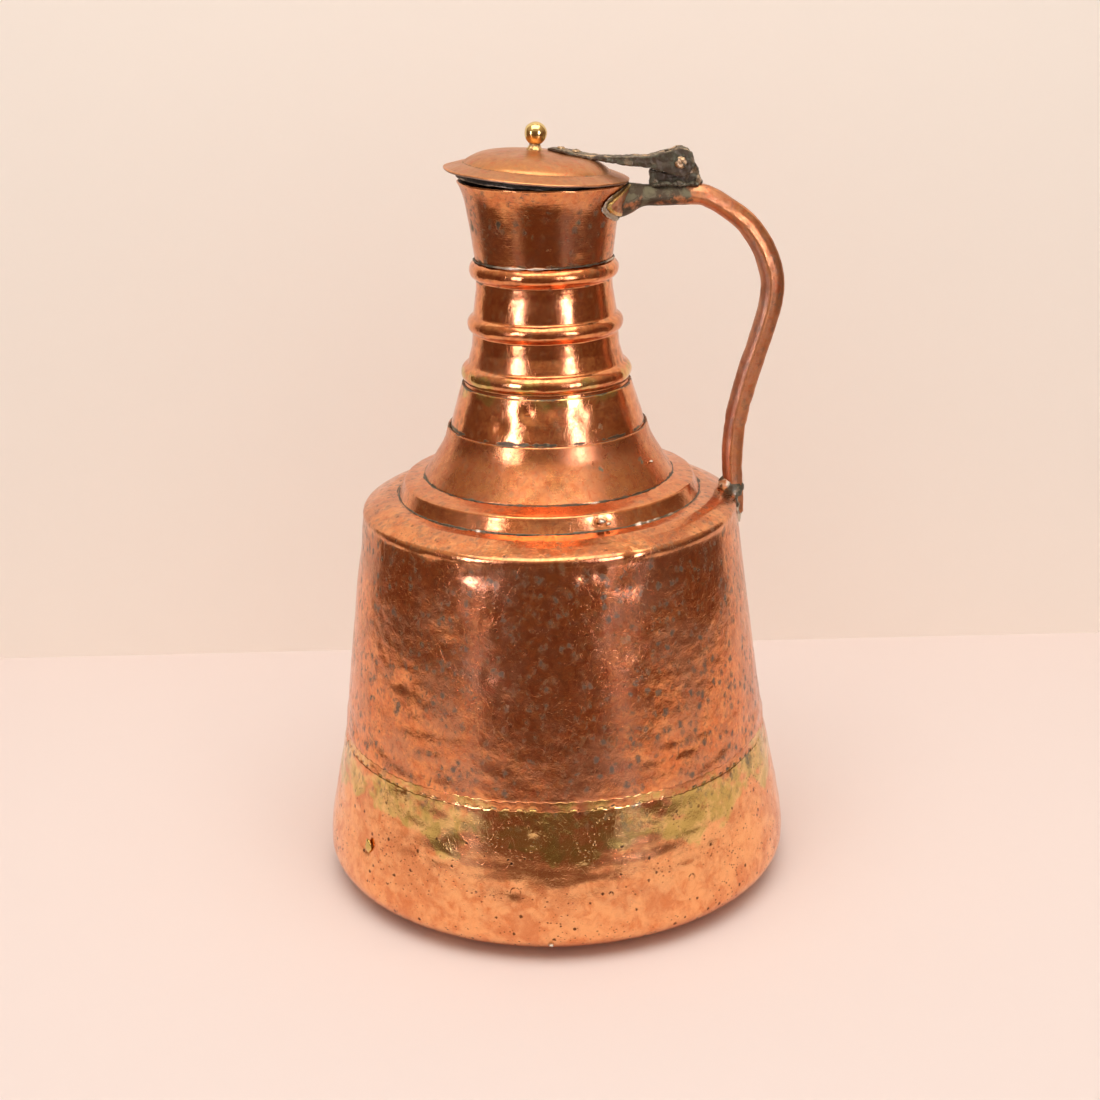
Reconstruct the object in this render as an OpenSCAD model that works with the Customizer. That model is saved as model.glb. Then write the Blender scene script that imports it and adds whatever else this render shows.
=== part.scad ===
// Copper water jug with a hinged lid, built up from lapped and brazed sheet-metal rings.
// Millimetres. +Z is up, the origin is on the jug's axis in the plane it stands on,
// and the handle is on the +X side. The lid is drawn where it comes to rest, slightly ajar.

/* [Sheet] */
// Thickness of the body and neck sheet
sheet_t = 1.4; // [1:0.1:1.6]
// Thickness of the lid sheet
lid_t = 1.3; // [1:0.1:1.5]
// Gap between two lapped sheets
lap_gap = 0.1; // [0.05:0.05:0.2]

/* [Base pan] */
// Radius of the flat underside
base_flat_r = 119; // [114:1:122]
// Radius of the large corner arc
corner_big_r = 57; // [52:1:60]
// Angle turned by the large corner arc
corner_big_a = 33; // [30:1:35]
// Radius of the small corner arc
corner_small_r = 14; // [12:1:16]
// Radius of the belly arc above the corner
belly_arc_r = 110; // [90:5:130]
// Inward lean of the pan's wall
pan_lean = 11.3; // [10:0.1:12]
// Height of the base seam
seam_z = 100; // [90:1:110]

/* [Body and shoulder] */
// Radius of the shoulder edge
shoulder_r = 122.7; // [121:0.1:125]
// Height where the wall ends and the shoulder turns in
shoulder_z = 250.5; // [246:0.5:256]
// Radius of the foot of the stepped ring
step_r = 98.5; // [97:0.1:100]
// Radius of the crease of the stepped ring
crease_r = 94.6; // [93:0.1:96]
// Rise of the crease over the foot of the stepped ring
crease_rise = 9.4; // [8:0.1:11]
// Radius of the foot of the neck skirt
skirt_foot_r = 81.2; // [80:0.1:83]

/* [Neck] */
// Section radius of the lower neck bead
bead_low_r = 6.5; // [6:0.1:6.8]
// Section radius of the middle neck bead
bead_mid_r = 6.2; // [5.8:0.1:6.6]
// Section radius of the upper neck bead
bead_top_r = 6; // [5.7:0.1:6.3]
// Height of the rim at the jug's axis
rim_z = 463; // [460:0.5:464]
// Slope of the rim, down towards the handle
rim_tilt = 1.3; // [0:0.1:1.5]

/* [Lid] */
// Outer radius of the lid flange
lid_r = 58; // [57:0.1:59]
// Height of the lid's crown over the flange edge
crown_h = 15; // [14:0.1:16]
// Radius of the skirt under the flange
lid_skirt_r = 50; // [48:0.5:50.5]
// Depth of the skirt below the flange edge
lid_skirt_h = 3.7; // [2:0.1:4]
// Angle at which the lid rests on the rim
lid_rest_a = 5; // [5:0.1:7]
// Radius of the knob's ball
knob_r = 7; // [6:0.1:8]

/* [Hinge] */
// Radius of the hinge pin
pin_r = 2.6; // [2:0.1:3]
// Radial running clearance of the lid on the pin
pin_clear = 0.05; // [0.02:0.01:0.1]
// Thickness of the hinge post
post_w = 7; // [6:0.5:7.5]
// Thickness of each cheek of the lid strap
cheek_w = 3.6; // [3:0.1:4]
// Side clearance between moving hinge faces
side_gap = 0.3; // [0.2:0.05:0.5]

/* [Handle] */
// Ring count of the handle between two route points
handle_steps = 2; // [2:1:3]

/* [Hidden] */
$fn = 96;

copper = [0.76, 0.43, 0.27];
dark_copper = [0.48, 0.35, 0.26];
solder = [0.46, 0.5, 0.42];
brass = [0.8, 0.63, 0.3];

big = 400;
arc_steps = 8;

// Left-hand normal of the run from a to b.
function normal(a, b) = [a[1] - b[1], b[0] - a[0]] / norm(b - a);
// Path p moved sideways by t, mitred at its corners. Paths run upwards or inwards, so t > 0 is inwards.
function inset(p, t) = [
    for (i = [0:len(p) - 1])
        let (n1 = normal(p[max(i - 1, 0)], p[max(i, 1)]),
             n2 = normal(p[min(i, len(p) - 2)], p[min(i + 1, len(p) - 1)]),
             q = p[i] + t * (n1 + n2) / (1 + n1 * n2))
        [max(q[0], 0), q[1]]
];
function reverse(p) = [for (i = [len(p) - 1:-1:0]) p[i]];
// Height at radius r of the straight line through a and b.
function line_z(a, b, r) = a[1] + (b[1] - a[1]) * (r - a[0]) / (b[0] - a[0]);
// Points of an arc, at angles measured from straight down towards +X.
function arc(c, r, a0, a1) = [
    for (i = [1:arc_steps])
        let (a = a0 + (a1 - a0) * i / arc_steps)
        [c[0] + r * sin(a), c[1] - r * cos(a)]
];
// Outline of the sheet whose outer face is path p.
function sheet(p, t) = concat(p, reverse(inset(p, t)));
// Outline of everything inside path p.
function solid(p) = concat([[0, p[0][1]]], p, [[0, p[len(p) - 1][1]]]);

// ---- Base pan: flat disc, two corner arcs, belly arc, leaning wall up to the seam.
big_c = [base_flat_r, corner_big_r];
big_arc = arc(big_c, corner_big_r, 0, corner_big_a);
small_c = big_c + (corner_big_r - corner_small_r) * [sin(corner_big_a), -cos(corner_big_a)];
small_arc = arc(small_c, corner_small_r, corner_big_a, 90);
belly_c = [small_c[0] + corner_small_r - belly_arc_r, small_c[1]];
belly_arc = arc(belly_c, belly_arc_r, 90, 90 + pan_lean);
belly_end = belly_arc[arc_steps - 1];
seam_r = belly_end[0] - (seam_z - belly_end[1]) * tan(pan_lean);
pan_path = concat([[0, 0], [base_flat_r, 0]], big_arc, small_arc, belly_arc, [[seam_r, seam_z]]);

// ---- Body: tail lapped inside the pan, joggle over the pan's edge, wall, shoulder.
lap_h = 10;
joggle_h = 4.5;
joggle_r = 0.6;
lap_in = (sheet_t + lap_gap) / cos(pan_lean);
lap_foot = [seam_r - lap_in + lap_h * tan(pan_lean), seam_z - lap_h];
lap_top = [seam_r - lap_in, seam_z];
joggle_top = [seam_r - joggle_r, seam_z + joggle_h];
shoulder_in = [shoulder_r - 15.7, shoulder_z + 12.4];
shoulder_end = [shoulder_r - 29.7, shoulder_z + 14];
body_path = [
    lap_foot,
    lap_top,
    joggle_top,
    [shoulder_r, shoulder_z],
    [shoulder_r - 0.7, shoulder_z + 3.3],
    [shoulder_r - 2.7, shoulder_z + 6.1],
    [shoulder_r - 6.7, shoulder_z + 9.1],
    shoulder_in,
    shoulder_end
];
braze_up = 0.6;
braze_top = lap_top + braze_up * (joggle_top - lap_top);

// ---- Stepped ring standing on the shoulder.
step_foot = [step_r, line_z(shoulder_in, shoulder_end, step_r)];
crease = step_foot + [crease_r - step_r, crease_rise];
crease_round = crease + [0.4, -1.4];
ring_in = [crease_r - 2, crease[1] + 0.7];
ring_bore_r = 78;
ring_slope = 0.21;
ring_end = [ring_bore_r, ring_in[1] + (ring_in[0] - ring_bore_r) * ring_slope];
step_path = [step_foot, crease_round, crease, ring_in, ring_end];
step_solder_out = 1.5;
step_solder_up = 0.2;

// ---- Neck skirt standing on the stepped ring.
skirt_foot = [skirt_foot_r, line_z(ring_in, ring_end, skirt_foot_r)];
skirt_low = [73.2, skirt_foot[1] + 12.8];
skirt_high = [67.6, skirt_foot[1] + 22.8];
skirt_top = [64.6, skirt_foot[1] + 32.5];
skirt_path = [skirt_foot, skirt_low, skirt_high, skirt_top];
skirt_solder_out = 1;
skirt_solder_up = 0.08;

// ---- Neck cone: tail lapped inside the skirt, straight cone, open top.
cone_top = [54.7, skirt_foot[1] + 60.4];
cone_lap = inset([skirt_high, skirt_top], sheet_t + lap_gap);
cone_path = [cone_lap[0], cone_lap[1], cone_top];

// ---- Neck tube: tail lapped inside the cone, three swaged beads.
tube_lap = inset([cone_lap[1], cone_top], sheet_t + lap_gap);
tail_share = 0.3;
tube_tail = tube_lap[1] + tail_share * (tube_lap[0] - tube_lap[1]);
bead_r = [bead_low_r, bead_mid_r, bead_top_r];
bead_at = [[48.2, cone_top[1] + 6.8], [43.4, cone_top[1] + 38.2], [41.5, cone_top[1] + 72.3]];
tube_path = [
    tube_tail,
    tube_lap[1],
    [50, cone_top[1] + 13.5],
    [47.2, cone_top[1] + 23],
    [46.4, cone_top[1] + 32.5],
    [45.6, cone_top[1] + 45],
    [43.5, cone_top[1] + 59],
    [43.2, cone_top[1] + 66.5],
    [42, cone_top[1] + 78],
    [42.5, cone_top[1] + 84]
];

// ---- Collar: flared, with a raw rim cut slightly out of level.
collar_foot = [43.5, cone_top[1] + 78.6];
collar_path = [
    collar_foot,
    collar_foot + [1.2, 9.4],
    collar_foot + [2.9, 22.4],
    collar_foot + [5.5, 35.4],
    collar_foot + [8.2, 43.4],
    collar_foot + [12, 53]
];
collar_bead = [[42.05, -2], [45.2, -2], [45.4, -0.5], [44.7, 1.3], [43.7, 1.6], [42.05, -0.05]];

// ---- Saddle: a leaf-shaped plate bedded in solder on the collar.
bed_t = 0.7;
saddle_t = 2.2;
skin_top = [67, 471];
leaf_z = rim_z - 12.2;
leaf_half = [[0, -9.9], [10, -9.4], [20, -7.4], [27, -5], [31, -1.6], [31, 1.4], [27, 4.4],
             [20, 7.2], [11, 9], [0, 9.4]];
bed_half = [[0, -12.9], [10, -12.6], [20, -10.6], [28, -7.4], [33.5, -3], [33.5, 2.4], [29, 6],
            [21, 8.4], [12, 9.6], [0, 9.8]];

// ---- Handle: route points [x, z, depth, width] from the saddle to the shoulder.
arm_z = 452.7;
arm_d = 13;
arm_top = arm_z + arm_d / 2;
arm_flat_from = 62;
arm_flat_length = 40;
handle_route = [
    [42, 450, 23, 36],
    [48, 450.6, 21, 32],
    [53, 451.2, 19, 26],
    [58, 452.2, 15.5, 20],
    [64, arm_z, arm_d, 16.5],
    [74, arm_z, arm_d, 16],
    [86, arm_z, arm_d, 16],
    [98, arm_z, arm_d, 16],
    [106, 449.8, 12.8, 16],
    [115, 444.2, 12.8, 16],
    [127, 434.6, 13.6, 16],
    [137, 421, 14.6, 16.5],
    [142.6, 407, 14.8, 16.5],
    [144.6, 396, 15, 16.5],
    [143.4, 383, 14.6, 16],
    [139.8, 368, 14.2, 16],
    [133.6, 349, 14, 16],
    [126.8, 326, 14, 16],
    [122.6, 308, 13.8, 15.5],
    [120.6, 291, 13.4, 15],
    [120.2, 277, 13, 15],
    [121.2, 264, 11.8, 14.5],
    [122.6, 254, 10.6, 14],
    [124.2, 244, 8, 12]
];
// Half of the handle's section: distance out along the depth, half width, both as fractions.
handle_half = [[-0.5, 0.14], [-0.34, 0.4], [-0.12, 0.5], [0.18, 0.42], [0.4, 0.29], [0.5, 0.16]];
section = concat(handle_half, [for (i = [5:-1:0]) [handle_half[i][0], -handle_half[i][1]]]);
side_count = len(section);

// Point at fraction t between route points i and i + 1, on a smooth curve through all of them.
function knot(i) = handle_route[min(max(i, 0), len(handle_route) - 1)];
function spline(i, t) =
    let (a = knot(i - 1), b = knot(i), c = knot(i + 1), d = knot(i + 2))
    ((2 * b) + (c - a) * t + (2 * a - 5 * b + 4 * c - d) * t * t
        + (3 * b - a - 3 * c + d) * t * t * t) / 2;
handle_rings = concat(
    [for (i = [0:len(handle_route) - 2]) for (k = [0:handle_steps - 1]) spline(i, k / handle_steps)],
    [knot(len(handle_route) - 1)]
);
last_ring = len(handle_rings) - 1;
function heading(k) =
    let (a = handle_rings[max(k - 1, 0)], b = handle_rings[min(k + 1, last_ring)])
    [b[0] - a[0], b[1] - a[1]] / norm([b[0] - a[0], b[1] - a[1]]);
function ring_point(k, s) =
    let (r = handle_rings[k], h = heading(k), out = s[0] * r[2])
    [r[0] - out * h[1], s[1] * r[3], r[1] + out * h[0]];

// ---- Hinge.
pin_x = 85.7;
pin_z = 473;
knuckle_r = 8.6;
lobe_r = 8.8;
head_r = 3.8;
head_h = 1.7;
cheek_in = post_w / 2 + side_gap;
cheek_out = cheek_in + cheek_w;
head_at = cheek_out + side_gap;

// ---- Lid, drawn level about its own axis and then set at its resting angle.
lid_x = -3.4;
lid_z = 467.1;
crown_r = 173;
haunch_r = 35;
haunch_a = 10;
haunch_end_a = 38;
crown_c = [0, crown_h - crown_r];
haunch_c = crown_c + (crown_r - haunch_r) * [sin(haunch_a), cos(haunch_a)];
haunch = arc(haunch_c, haunch_r, 180 - haunch_end_a, 180 - haunch_a);
crown = arc(crown_c, crown_r, 180 - haunch_a, 180);
haunch_start = haunch_c + haunch_r * [sin(haunch_end_a), cos(haunch_end_a)];
flange_in = haunch_start + [0.9, -0.55];
flange_edge = [lid_r, lid_t];
dome_path = concat([flange_edge, flange_in, haunch_start], haunch, crown);
flange_under = inset([flange_edge, flange_in], lid_t);
knob_x = -2;
knob_z = crown_h + 9.8;
knob_stem_r = 3.9;
tenon_r = 2;
rivet_x = [12.5, 21.5];
rivet_r = 1.6;
rivet_head_r = 3;
rivet_length = 4.9;

// ---- Strap, in the jug's frame at the lid's resting angle: side view then half plan.
strap_root_x = pin_x - 9.3;
strap_tip = [8, 483.1];
strap_heel = [30, 478.4];
strap_lean = atan((strap_tip[1] - strap_heel[1]) / (strap_heel[0] - strap_tip[0]));
strap_side = [
    [3.8, 470], [30, 470], [30.5, 475.9], [44.5, 472.9], [57.8, 470.9], [66.5, 469.8],
    [strap_root_x, 466.8], [strap_root_x, 479.6], [66.5, 477], [57.8, 477.1], [44.5, 477.3],
    strap_heel, strap_tip, [3.8, 482.9]
];
strap_plan = [[3.6, 0.6], [8, 5], [13, 8.6], [19, 10], [26, 9], [36, 6.4], [50, 6], [60, cheek_out],
              [strap_root_x, cheek_out]];
cheek_side = [
    [66.5, 469.8], [pin_x - 2.4, pin_z - lobe_r + 0.35], [pin_x + 2, pin_z],
    [pin_x - 3, pin_z + lobe_r - 0.55], [66.5, 477]
];
post_side = [
    [67, arm_top], [99.5, arm_top], [97.4, 467.3], [93.8, 475.8], [pin_x, pin_z],
    [pin_x - 6, 467], [strap_root_x, 466.2], [67, 469.1]
];

module half_plane_below(a, b)
    polygon([[0, line_z(a, b, 0)], [0, line_z(a, b, 0) - 30], [200, line_z(a, b, 200) - 30],
             [200, line_z(a, b, 200)]]);

module spin_sheet(p, t)
    rotate_extrude() polygon(sheet(p, t));

// Side view drawn in X and Z, given a thickness centred on the plane y = 0.
module slab(w)
    rotate([90, 0, 0]) linear_extrude(w, center = true) children();

module in_lid()
    translate([lid_x, 0, lid_z]) rotate([0, lid_rest_a, 0]) children();

module base_pan()
    color(copper) spin_sheet(pan_path, sheet_t);

module base_seam_braze() {
    edge = inset(pan_path, sheet_t)[len(pan_path) - 1];
    foot = [lap_top[0] + (seam_z - edge[1]) * tan(pan_lean), edge[1]];
    color(brass) rotate_extrude() polygon([[seam_r, seam_z], braze_top, lap_top, foot, edge]);
}

module body_shell()
    color(copper) spin_sheet(body_path, sheet_t);

module step_ring()
    color(copper) rotate_extrude() difference() {
        polygon(sheet(step_path, sheet_t));
        half_plane_below(shoulder_in, shoulder_end);
    }

module step_solder() {
    up = step_foot + step_solder_up * (crease_round - step_foot);
    out_r = step_foot[0] + step_solder_out;
    out = [out_r, line_z(shoulder_in, shoulder_end, out_r)];
    color(solder) rotate_extrude() polygon([step_foot, out, up]);
}

module neck_skirt()
    color(copper) rotate_extrude() difference() {
        polygon(sheet(skirt_path, sheet_t));
        half_plane_below(ring_in, ring_end);
    }

module skirt_solder() {
    up = skirt_foot + skirt_solder_up * (skirt_low - skirt_foot);
    out_r = skirt_foot[0] + skirt_solder_out;
    out = [out_r, line_z(ring_in, ring_end, out_r)];
    color(solder) rotate_extrude() polygon([skirt_foot, out, up]);
}

module neck_cone()
    color(copper) spin_sheet(cone_path, sheet_t);

module beads(less)
    for (i = [0:2]) translate(bead_at[i]) circle(bead_r[i] - less);

module neck_tube()
    color(copper) rotate_extrude() difference() {
        union() {
            polygon(sheet(tube_path, sheet_t));
            beads(0);
        }
        beads(sheet_t);
        polygon(solid(inset(tube_path, sheet_t)));
    }

module collar()
    color(copper) difference() {
        spin_sheet(collar_path, sheet_t);
        translate([0, 0, rim_z]) rotate([0, rim_tilt, 0]) translate([-big / 2, -big / 2, 0])
            cube([big, big, 40]);
    }

module collar_solder()
    color(solder) rotate_extrude() difference() {
        translate([0, collar_foot[1]]) polygon(collar_bead);
        beads(0);
        polygon(sheet(collar_path, sheet_t));
        polygon(solid(tube_path));
    }

module leaf(half)
    rotate([90, 0, 90]) linear_extrude(80)
        polygon(concat(half, [for (i = [len(half) - 2:-1:1]) [-half[i][0], half[i][1]]]));

// Part of the skin between two distances off the collar, cut to a leaf outline on the handle side.
module collar_skin(low, high, half)
    intersection() {
        rotate_extrude() difference() {
            polygon(solid(inset(collar_path, -high)));
            translate([0, -1]) polygon(solid(concat(inset(collar_path, -low), [skin_top])));
            polygon(solid(inset(collar_path, -low)));
        }
        translate([20, 0, leaf_z]) leaf(half);
    }

module saddle_solder()
    color(solder) collar_skin(0, bed_t, bed_half);

module handle_saddle()
    color(copper) collar_skin(bed_t, bed_t + saddle_t, leaf_half);

module handle_blank() {
    points = [for (k = [0:last_ring]) for (s = section) ring_point(k, s)];
    near = [for (j = [0:side_count - 1]) j];
    far = [for (j = [side_count - 1:-1:0]) last_ring * side_count + j];
    sides = [
        for (k = [0:last_ring - 1]) for (j = [0:side_count - 1])
            let (n = (j + 1) % side_count, a = k * side_count, b = a + side_count)
            each [[a + j, b + j, b + n], [a + j, b + n, a + n]]
    ];
    polyhedron(points, concat([near, far], sides));
}

module handle()
    color(copper) difference() {
        handle_blank();
        rotate_extrude() polygon(solid(inset(collar_path, -bed_t - saddle_t)));
        rotate_extrude() polygon(solid(body_path));
        translate([arm_flat_from, -arm_flat_length / 2, arm_top])
            cube([arm_flat_length, arm_flat_length, 10]);
    }

module hinge_post()
    color(dark_copper) difference() {
        slab(post_w) union() {
            polygon(post_side);
            translate([pin_x, pin_z]) circle(knuckle_r);
        }
        translate([pin_x, 0, pin_z]) rotate([90, 0, 0]) cylinder(h = 40, r = pin_r, center = true);
    }

module hinge_pin() {
    half = [[0, head_at + head_h], [pin_r, head_at + head_h - 0.2], [head_r, head_at + 0.9],
            [head_r, head_at], [pin_r, head_at]];
    mirrored = [for (i = [len(half) - 1:-1:0]) [half[i][0], -half[i][1]]];
    color(dark_copper) translate([pin_x, 0, pin_z]) rotate([90, 0, 0])
        rotate_extrude() polygon(concat(half, mirrored));
}

// Places its children on the strap's sloping top, once for each rivet.
module at_rivets()
    for (x = rivet_x) translate([x, 0, line_z(strap_tip, strap_heel, x)]) rotate([0, strap_lean, 0])
        children();

module rivet_holes()
    at_rivets() translate([0, 0, -12]) cylinder(h = 24, r = rivet_r);

module lid_dome()
    color(copper) difference() {
        in_lid() spin_sheet(dome_path, lid_t);
        in_lid() translate([knob_x, 0, 0]) cylinder(h = 40, r = tenon_r);
        rivet_holes();
    }

module lid_skirt() {
    inner = lid_skirt_r - lid_t;
    top_out = line_z(flange_under[0], flange_under[1], lid_skirt_r);
    top_in = line_z(flange_under[0], flange_under[1], inner);
    color(copper) in_lid() rotate_extrude()
        polygon([[inner, -lid_skirt_h], [lid_skirt_r, -lid_skirt_h], [lid_skirt_r, top_out],
                 [inner, top_in]]);
}

module lid_strap()
    color(dark_copper) difference() {
        union() {
            intersection() {
                slab(40) polygon(strap_side);
                linear_extrude(600) polygon(concat(strap_plan,
                    [for (i = [len(strap_plan) - 1:-1:0]) [strap_plan[i][0], -strap_plan[i][1]]]));
            }
            for (s = [-1, 1]) translate([0, s * (cheek_in + cheek_w / 2), 0]) slab(cheek_w) union() {
                polygon(cheek_side);
                translate([pin_x, pin_z]) circle(lobe_r);
            }
        }
        translate([pin_x, 0, pin_z]) rotate([90, 0, 0])
            cylinder(h = 40, r = pin_r + pin_clear, center = true);
        in_lid() rotate_extrude() polygon(solid(concat([[lid_r, -6]], dome_path)));
        rivet_holes();
    }

module strap_rivets()
    color(dark_copper) at_rivets() rotate_extrude()
        polygon([[0, -rivet_length], [rivet_r, -rivet_length], [rivet_r, 0], [rivet_head_r, 0],
                 [rivet_head_r - 0.6, 0.9], [rivet_r, 1.4], [0, 1.6]]);

module knob() {
    color(brass) in_lid() translate([knob_x, 0, 0]) difference() {
        union() {
            translate([0, 0, knob_z]) sphere(knob_r);
            translate([0, 0, crown_h - 1]) cylinder(h = 9, r = knob_stem_r);
            translate([0, 0, knob_z - knob_r + 0.2]) cylinder(h = 1.8, r1 = knob_stem_r, r2 = 5);
            translate([0, 0, crown_h - 4]) cylinder(h = 8, r = tenon_r);
        }
        translate([-knob_x, 0, 0]) difference() {
            rotate_extrude() polygon(solid(dome_path));
            translate([knob_x, 0, 0]) cylinder(h = 40, r = tenon_r);
        }
    }
}

base_pan();
base_seam_braze();
body_shell();
step_ring();
step_solder();
neck_skirt();
skirt_solder();
neck_cone();
neck_tube();
collar();
collar_solder();
saddle_solder();
handle_saddle();
handle();
hinge_post();
hinge_pin();
lid_dome();
lid_skirt();
lid_strap();
strap_rivets();
knob();
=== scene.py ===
import math

import bpy
import numpy as np
from mathutils import Matrix, Vector


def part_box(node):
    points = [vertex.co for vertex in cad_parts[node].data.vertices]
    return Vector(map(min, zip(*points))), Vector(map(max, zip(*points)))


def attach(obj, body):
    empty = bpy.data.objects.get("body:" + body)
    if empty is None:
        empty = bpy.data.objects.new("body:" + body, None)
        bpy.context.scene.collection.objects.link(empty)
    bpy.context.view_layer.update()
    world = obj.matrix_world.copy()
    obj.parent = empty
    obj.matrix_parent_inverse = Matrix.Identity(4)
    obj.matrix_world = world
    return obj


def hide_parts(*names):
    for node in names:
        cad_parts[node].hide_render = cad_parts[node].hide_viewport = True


# A hammered copper water jug with a hinged lid. Lengths in the making of a piece are millimetres,
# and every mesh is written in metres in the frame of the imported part: +Z up, handle towards +X.
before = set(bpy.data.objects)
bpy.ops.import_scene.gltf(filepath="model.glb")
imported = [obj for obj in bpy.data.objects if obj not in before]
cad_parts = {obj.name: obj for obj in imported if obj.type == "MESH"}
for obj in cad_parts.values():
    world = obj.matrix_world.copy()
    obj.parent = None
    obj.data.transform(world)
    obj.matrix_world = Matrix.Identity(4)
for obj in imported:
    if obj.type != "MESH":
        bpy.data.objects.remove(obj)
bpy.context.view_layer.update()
MM = 0.001


# ---------------- camera
def make_camera():
    data = bpy.data.cameras.new("camera")
    data.sensor_width = 36
    data.lens = 57.3
    data.clip_start = 0.05
    camera = bpy.data.objects.new("camera", data)
    pitch = Matrix.Rotation(math.radians(70.85), 4, "X")
    roll = Matrix.Rotation(math.radians(-1.355), 4, "Z")
    camera.matrix_world = Matrix.Translation((-0.0004, -1.103, 0.603)) @ pitch @ roll
    bpy.context.scene.collection.objects.link(camera)
    bpy.context.scene.camera = camera


# ---------------- noise, all of it seeded
def hashed(cell, seed):
    """A number from 0 to 1 for each whole-number cell, N x 3."""
    h = (cell[:, 0] * 73856093) ^ (cell[:, 1] * 19349663) ^ (cell[:, 2] * 83492791)
    h = (h ^ (seed * 2654435761)) & 0xFFFFFFFF
    h = ((h ^ (h >> 13)) * 1274126177) & 0xFFFFFFFF
    h = ((h ^ (h >> 15)) * 2246822519) & 0xFFFFFFFF
    h = h ^ (h >> 16)
    return (h & 0xFFFFF) / 0xFFFFF


def wave(points, size, seed):
    """Smooth noise from about -1 to 1, with bumps about size across."""
    q = points / size
    cell = np.floor(q).astype(np.int64)
    f = q - cell
    u = f * f * f * (f * (f * 6 - 15) + 10)
    total = np.zeros(len(points))
    for corner in np.ndindex(2, 2, 2):
        c = np.array(corner)
        near = cell + c
        away = f - c
        slope = sum((hashed(near, seed + k) * 2 - 1) * away[:, k] for k in range(3))
        weight = np.prod(np.where(c == 1, u, 1 - u), axis=1)
        total += weight * slope
    return total * 1.7


def fractal(points, size, seed, octaves=3, gain=0.5):
    return sum(gain**k * wave(points, size * 0.5**k, seed + 11 * k) for k in range(octaves))


def cells(points, size, seed):
    """Distance to the nearest and second nearest of scattered points, in units of size."""
    q = points / size
    cell = np.floor(q).astype(np.int64)
    first = np.full(len(points), 9.0)
    second = np.full(len(points), 9.0)
    for shift in np.ndindex(3, 3, 3):
        near = cell + (np.array(shift) - 1)
        spot = near + np.stack([hashed(near, seed + k) for k in range(3)], axis=1)
        d = np.linalg.norm(q - spot, axis=1)
        second = np.minimum(second, np.maximum(first, d))
        first = np.minimum(first, d)
    return first, second


def smooth(x, low, high):
    t = np.clip((x - low) / (high - low), 0, 1)
    return t * t * (3 - 2 * t)


def bell(x, width):
    """1 at 0, falling away smoothly over width on either side."""
    return np.exp(-((x / width) ** 2))


def around(points):
    """Angle round the jug in degrees, 0 at the front (-Y) and 90 at the handle (+X)."""
    return np.degrees(np.arctan2(points[:, 0], -points[:, 1]))


def from_axis(points):
    return np.hypot(points[:, 0], points[:, 1])


def on_wall(angle, radius, z):
    """The place at that angle round the jug, radius and height."""
    a = math.radians(angle)
    return np.array([radius * math.sin(a), -radius * math.cos(a), z])


def spot(points, angle, radius, z, width):
    """1 at a place on the wall, fading over width."""
    return bell(np.linalg.norm(points - on_wall(angle, radius, z), axis=1), width)


# ---------------- paths, in radius and height
def arc(centre, r, a0, a1, count=12):
    """Points after a0 up to a1, in degrees from straight below the centre."""
    angles = np.radians(np.linspace(a0, a1, count + 1)[1:])
    return [(centre[0] + r * math.sin(a), centre[1] - r * math.cos(a)) for a in angles]


def curve(knots, per_span=6):
    """A smooth curve through all the knots."""
    k = np.array([knots[0], *knots, knots[-1]], float)
    out = []
    for i in range(1, len(k) - 2):
        a, b, c, d = k[i - 1 : i + 3]
        slope, bend, twist = c - a, 2 * a - 5 * b + 4 * c - d, 3 * b - a - 3 * c + d
        for t in np.arange(per_span) / per_span:
            out.append(0.5 * (2 * b + slope * t + bend * t * t + twist * t**3))
    out.append(k[-2])
    return np.array(out)


def resample(path, spacing, soften=0):
    """Points about spacing apart along path, with its corners softened a little."""
    path = np.array(path, float)
    steps = np.linalg.norm(np.diff(path, axis=0), axis=1)
    along = np.concatenate([[0], np.cumsum(steps)])
    at = np.linspace(0, along[-1], max(2, round(along[-1] / spacing) + 1))
    out = np.stack([np.interp(at, along, path[:, k]) for k in range(path.shape[1])], axis=1)
    for _ in range(soften):
        out[1:-1] = (out[:-2] + 2 * out[1:-1] + out[2:]) / 4
    return out


def outward(path):
    """Unit normals of a path that runs upwards or inwards, on the jug's outer side."""
    d = np.gradient(path, axis=0)
    n = np.stack([d[:, 1], -d[:, 0]], axis=1)
    return n / np.linalg.norm(n, axis=1, keepdims=True)


# ---------------- mesh making
def make_object(name, points, faces, masks, body, nodes, material):
    """One piece of the jug, with a value of each mask at every point, in place of those CAD nodes."""
    mesh = bpy.data.meshes.new(name)
    mesh.from_pydata((np.asarray(points) * MM).tolist(), [], faces)
    mesh.polygons.foreach_set("use_smooth", [True] * len(mesh.polygons))
    for key, values in masks.items():
        attribute = mesh.attributes.new(key, "FLOAT", "POINT")
        attribute.data.foreach_set("value", np.asarray(values, np.float32))
    mesh.update()
    obj = bpy.data.objects.new(name, mesh)
    bpy.context.scene.collection.objects.link(obj)
    mesh.materials.append(material)
    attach(obj, body)
    if nodes:
        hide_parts(*nodes)
    return obj


def grid_faces(rows, columns, closed_rows):
    faces = []
    for i in range(rows if closed_rows else rows - 1):
        a, b = i * columns, ((i + 1) % rows) * columns
        for j in range(columns):
            n = (j + 1) % columns
            faces.append((a + j, a + n, b + n, b + j))
    return faces


def capped(points, columns, ends=None):
    """Closes rows of points into one solid, with a fan at each end round its middle or a given
    point. Returns the points with the two middles added, and the faces."""
    last = len(points) - columns
    if ends is None:
        ends = [points[:columns].mean(axis=0), points[last:].mean(axis=0)]
    faces = grid_faces(len(points) // columns, columns, closed_rows=False)
    for j in range(columns):
        n = (j + 1) % columns
        faces += [(len(points), n, j), (len(points) + 1, last + j, last + n)]
    return np.vstack([points, ends]), faces


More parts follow.
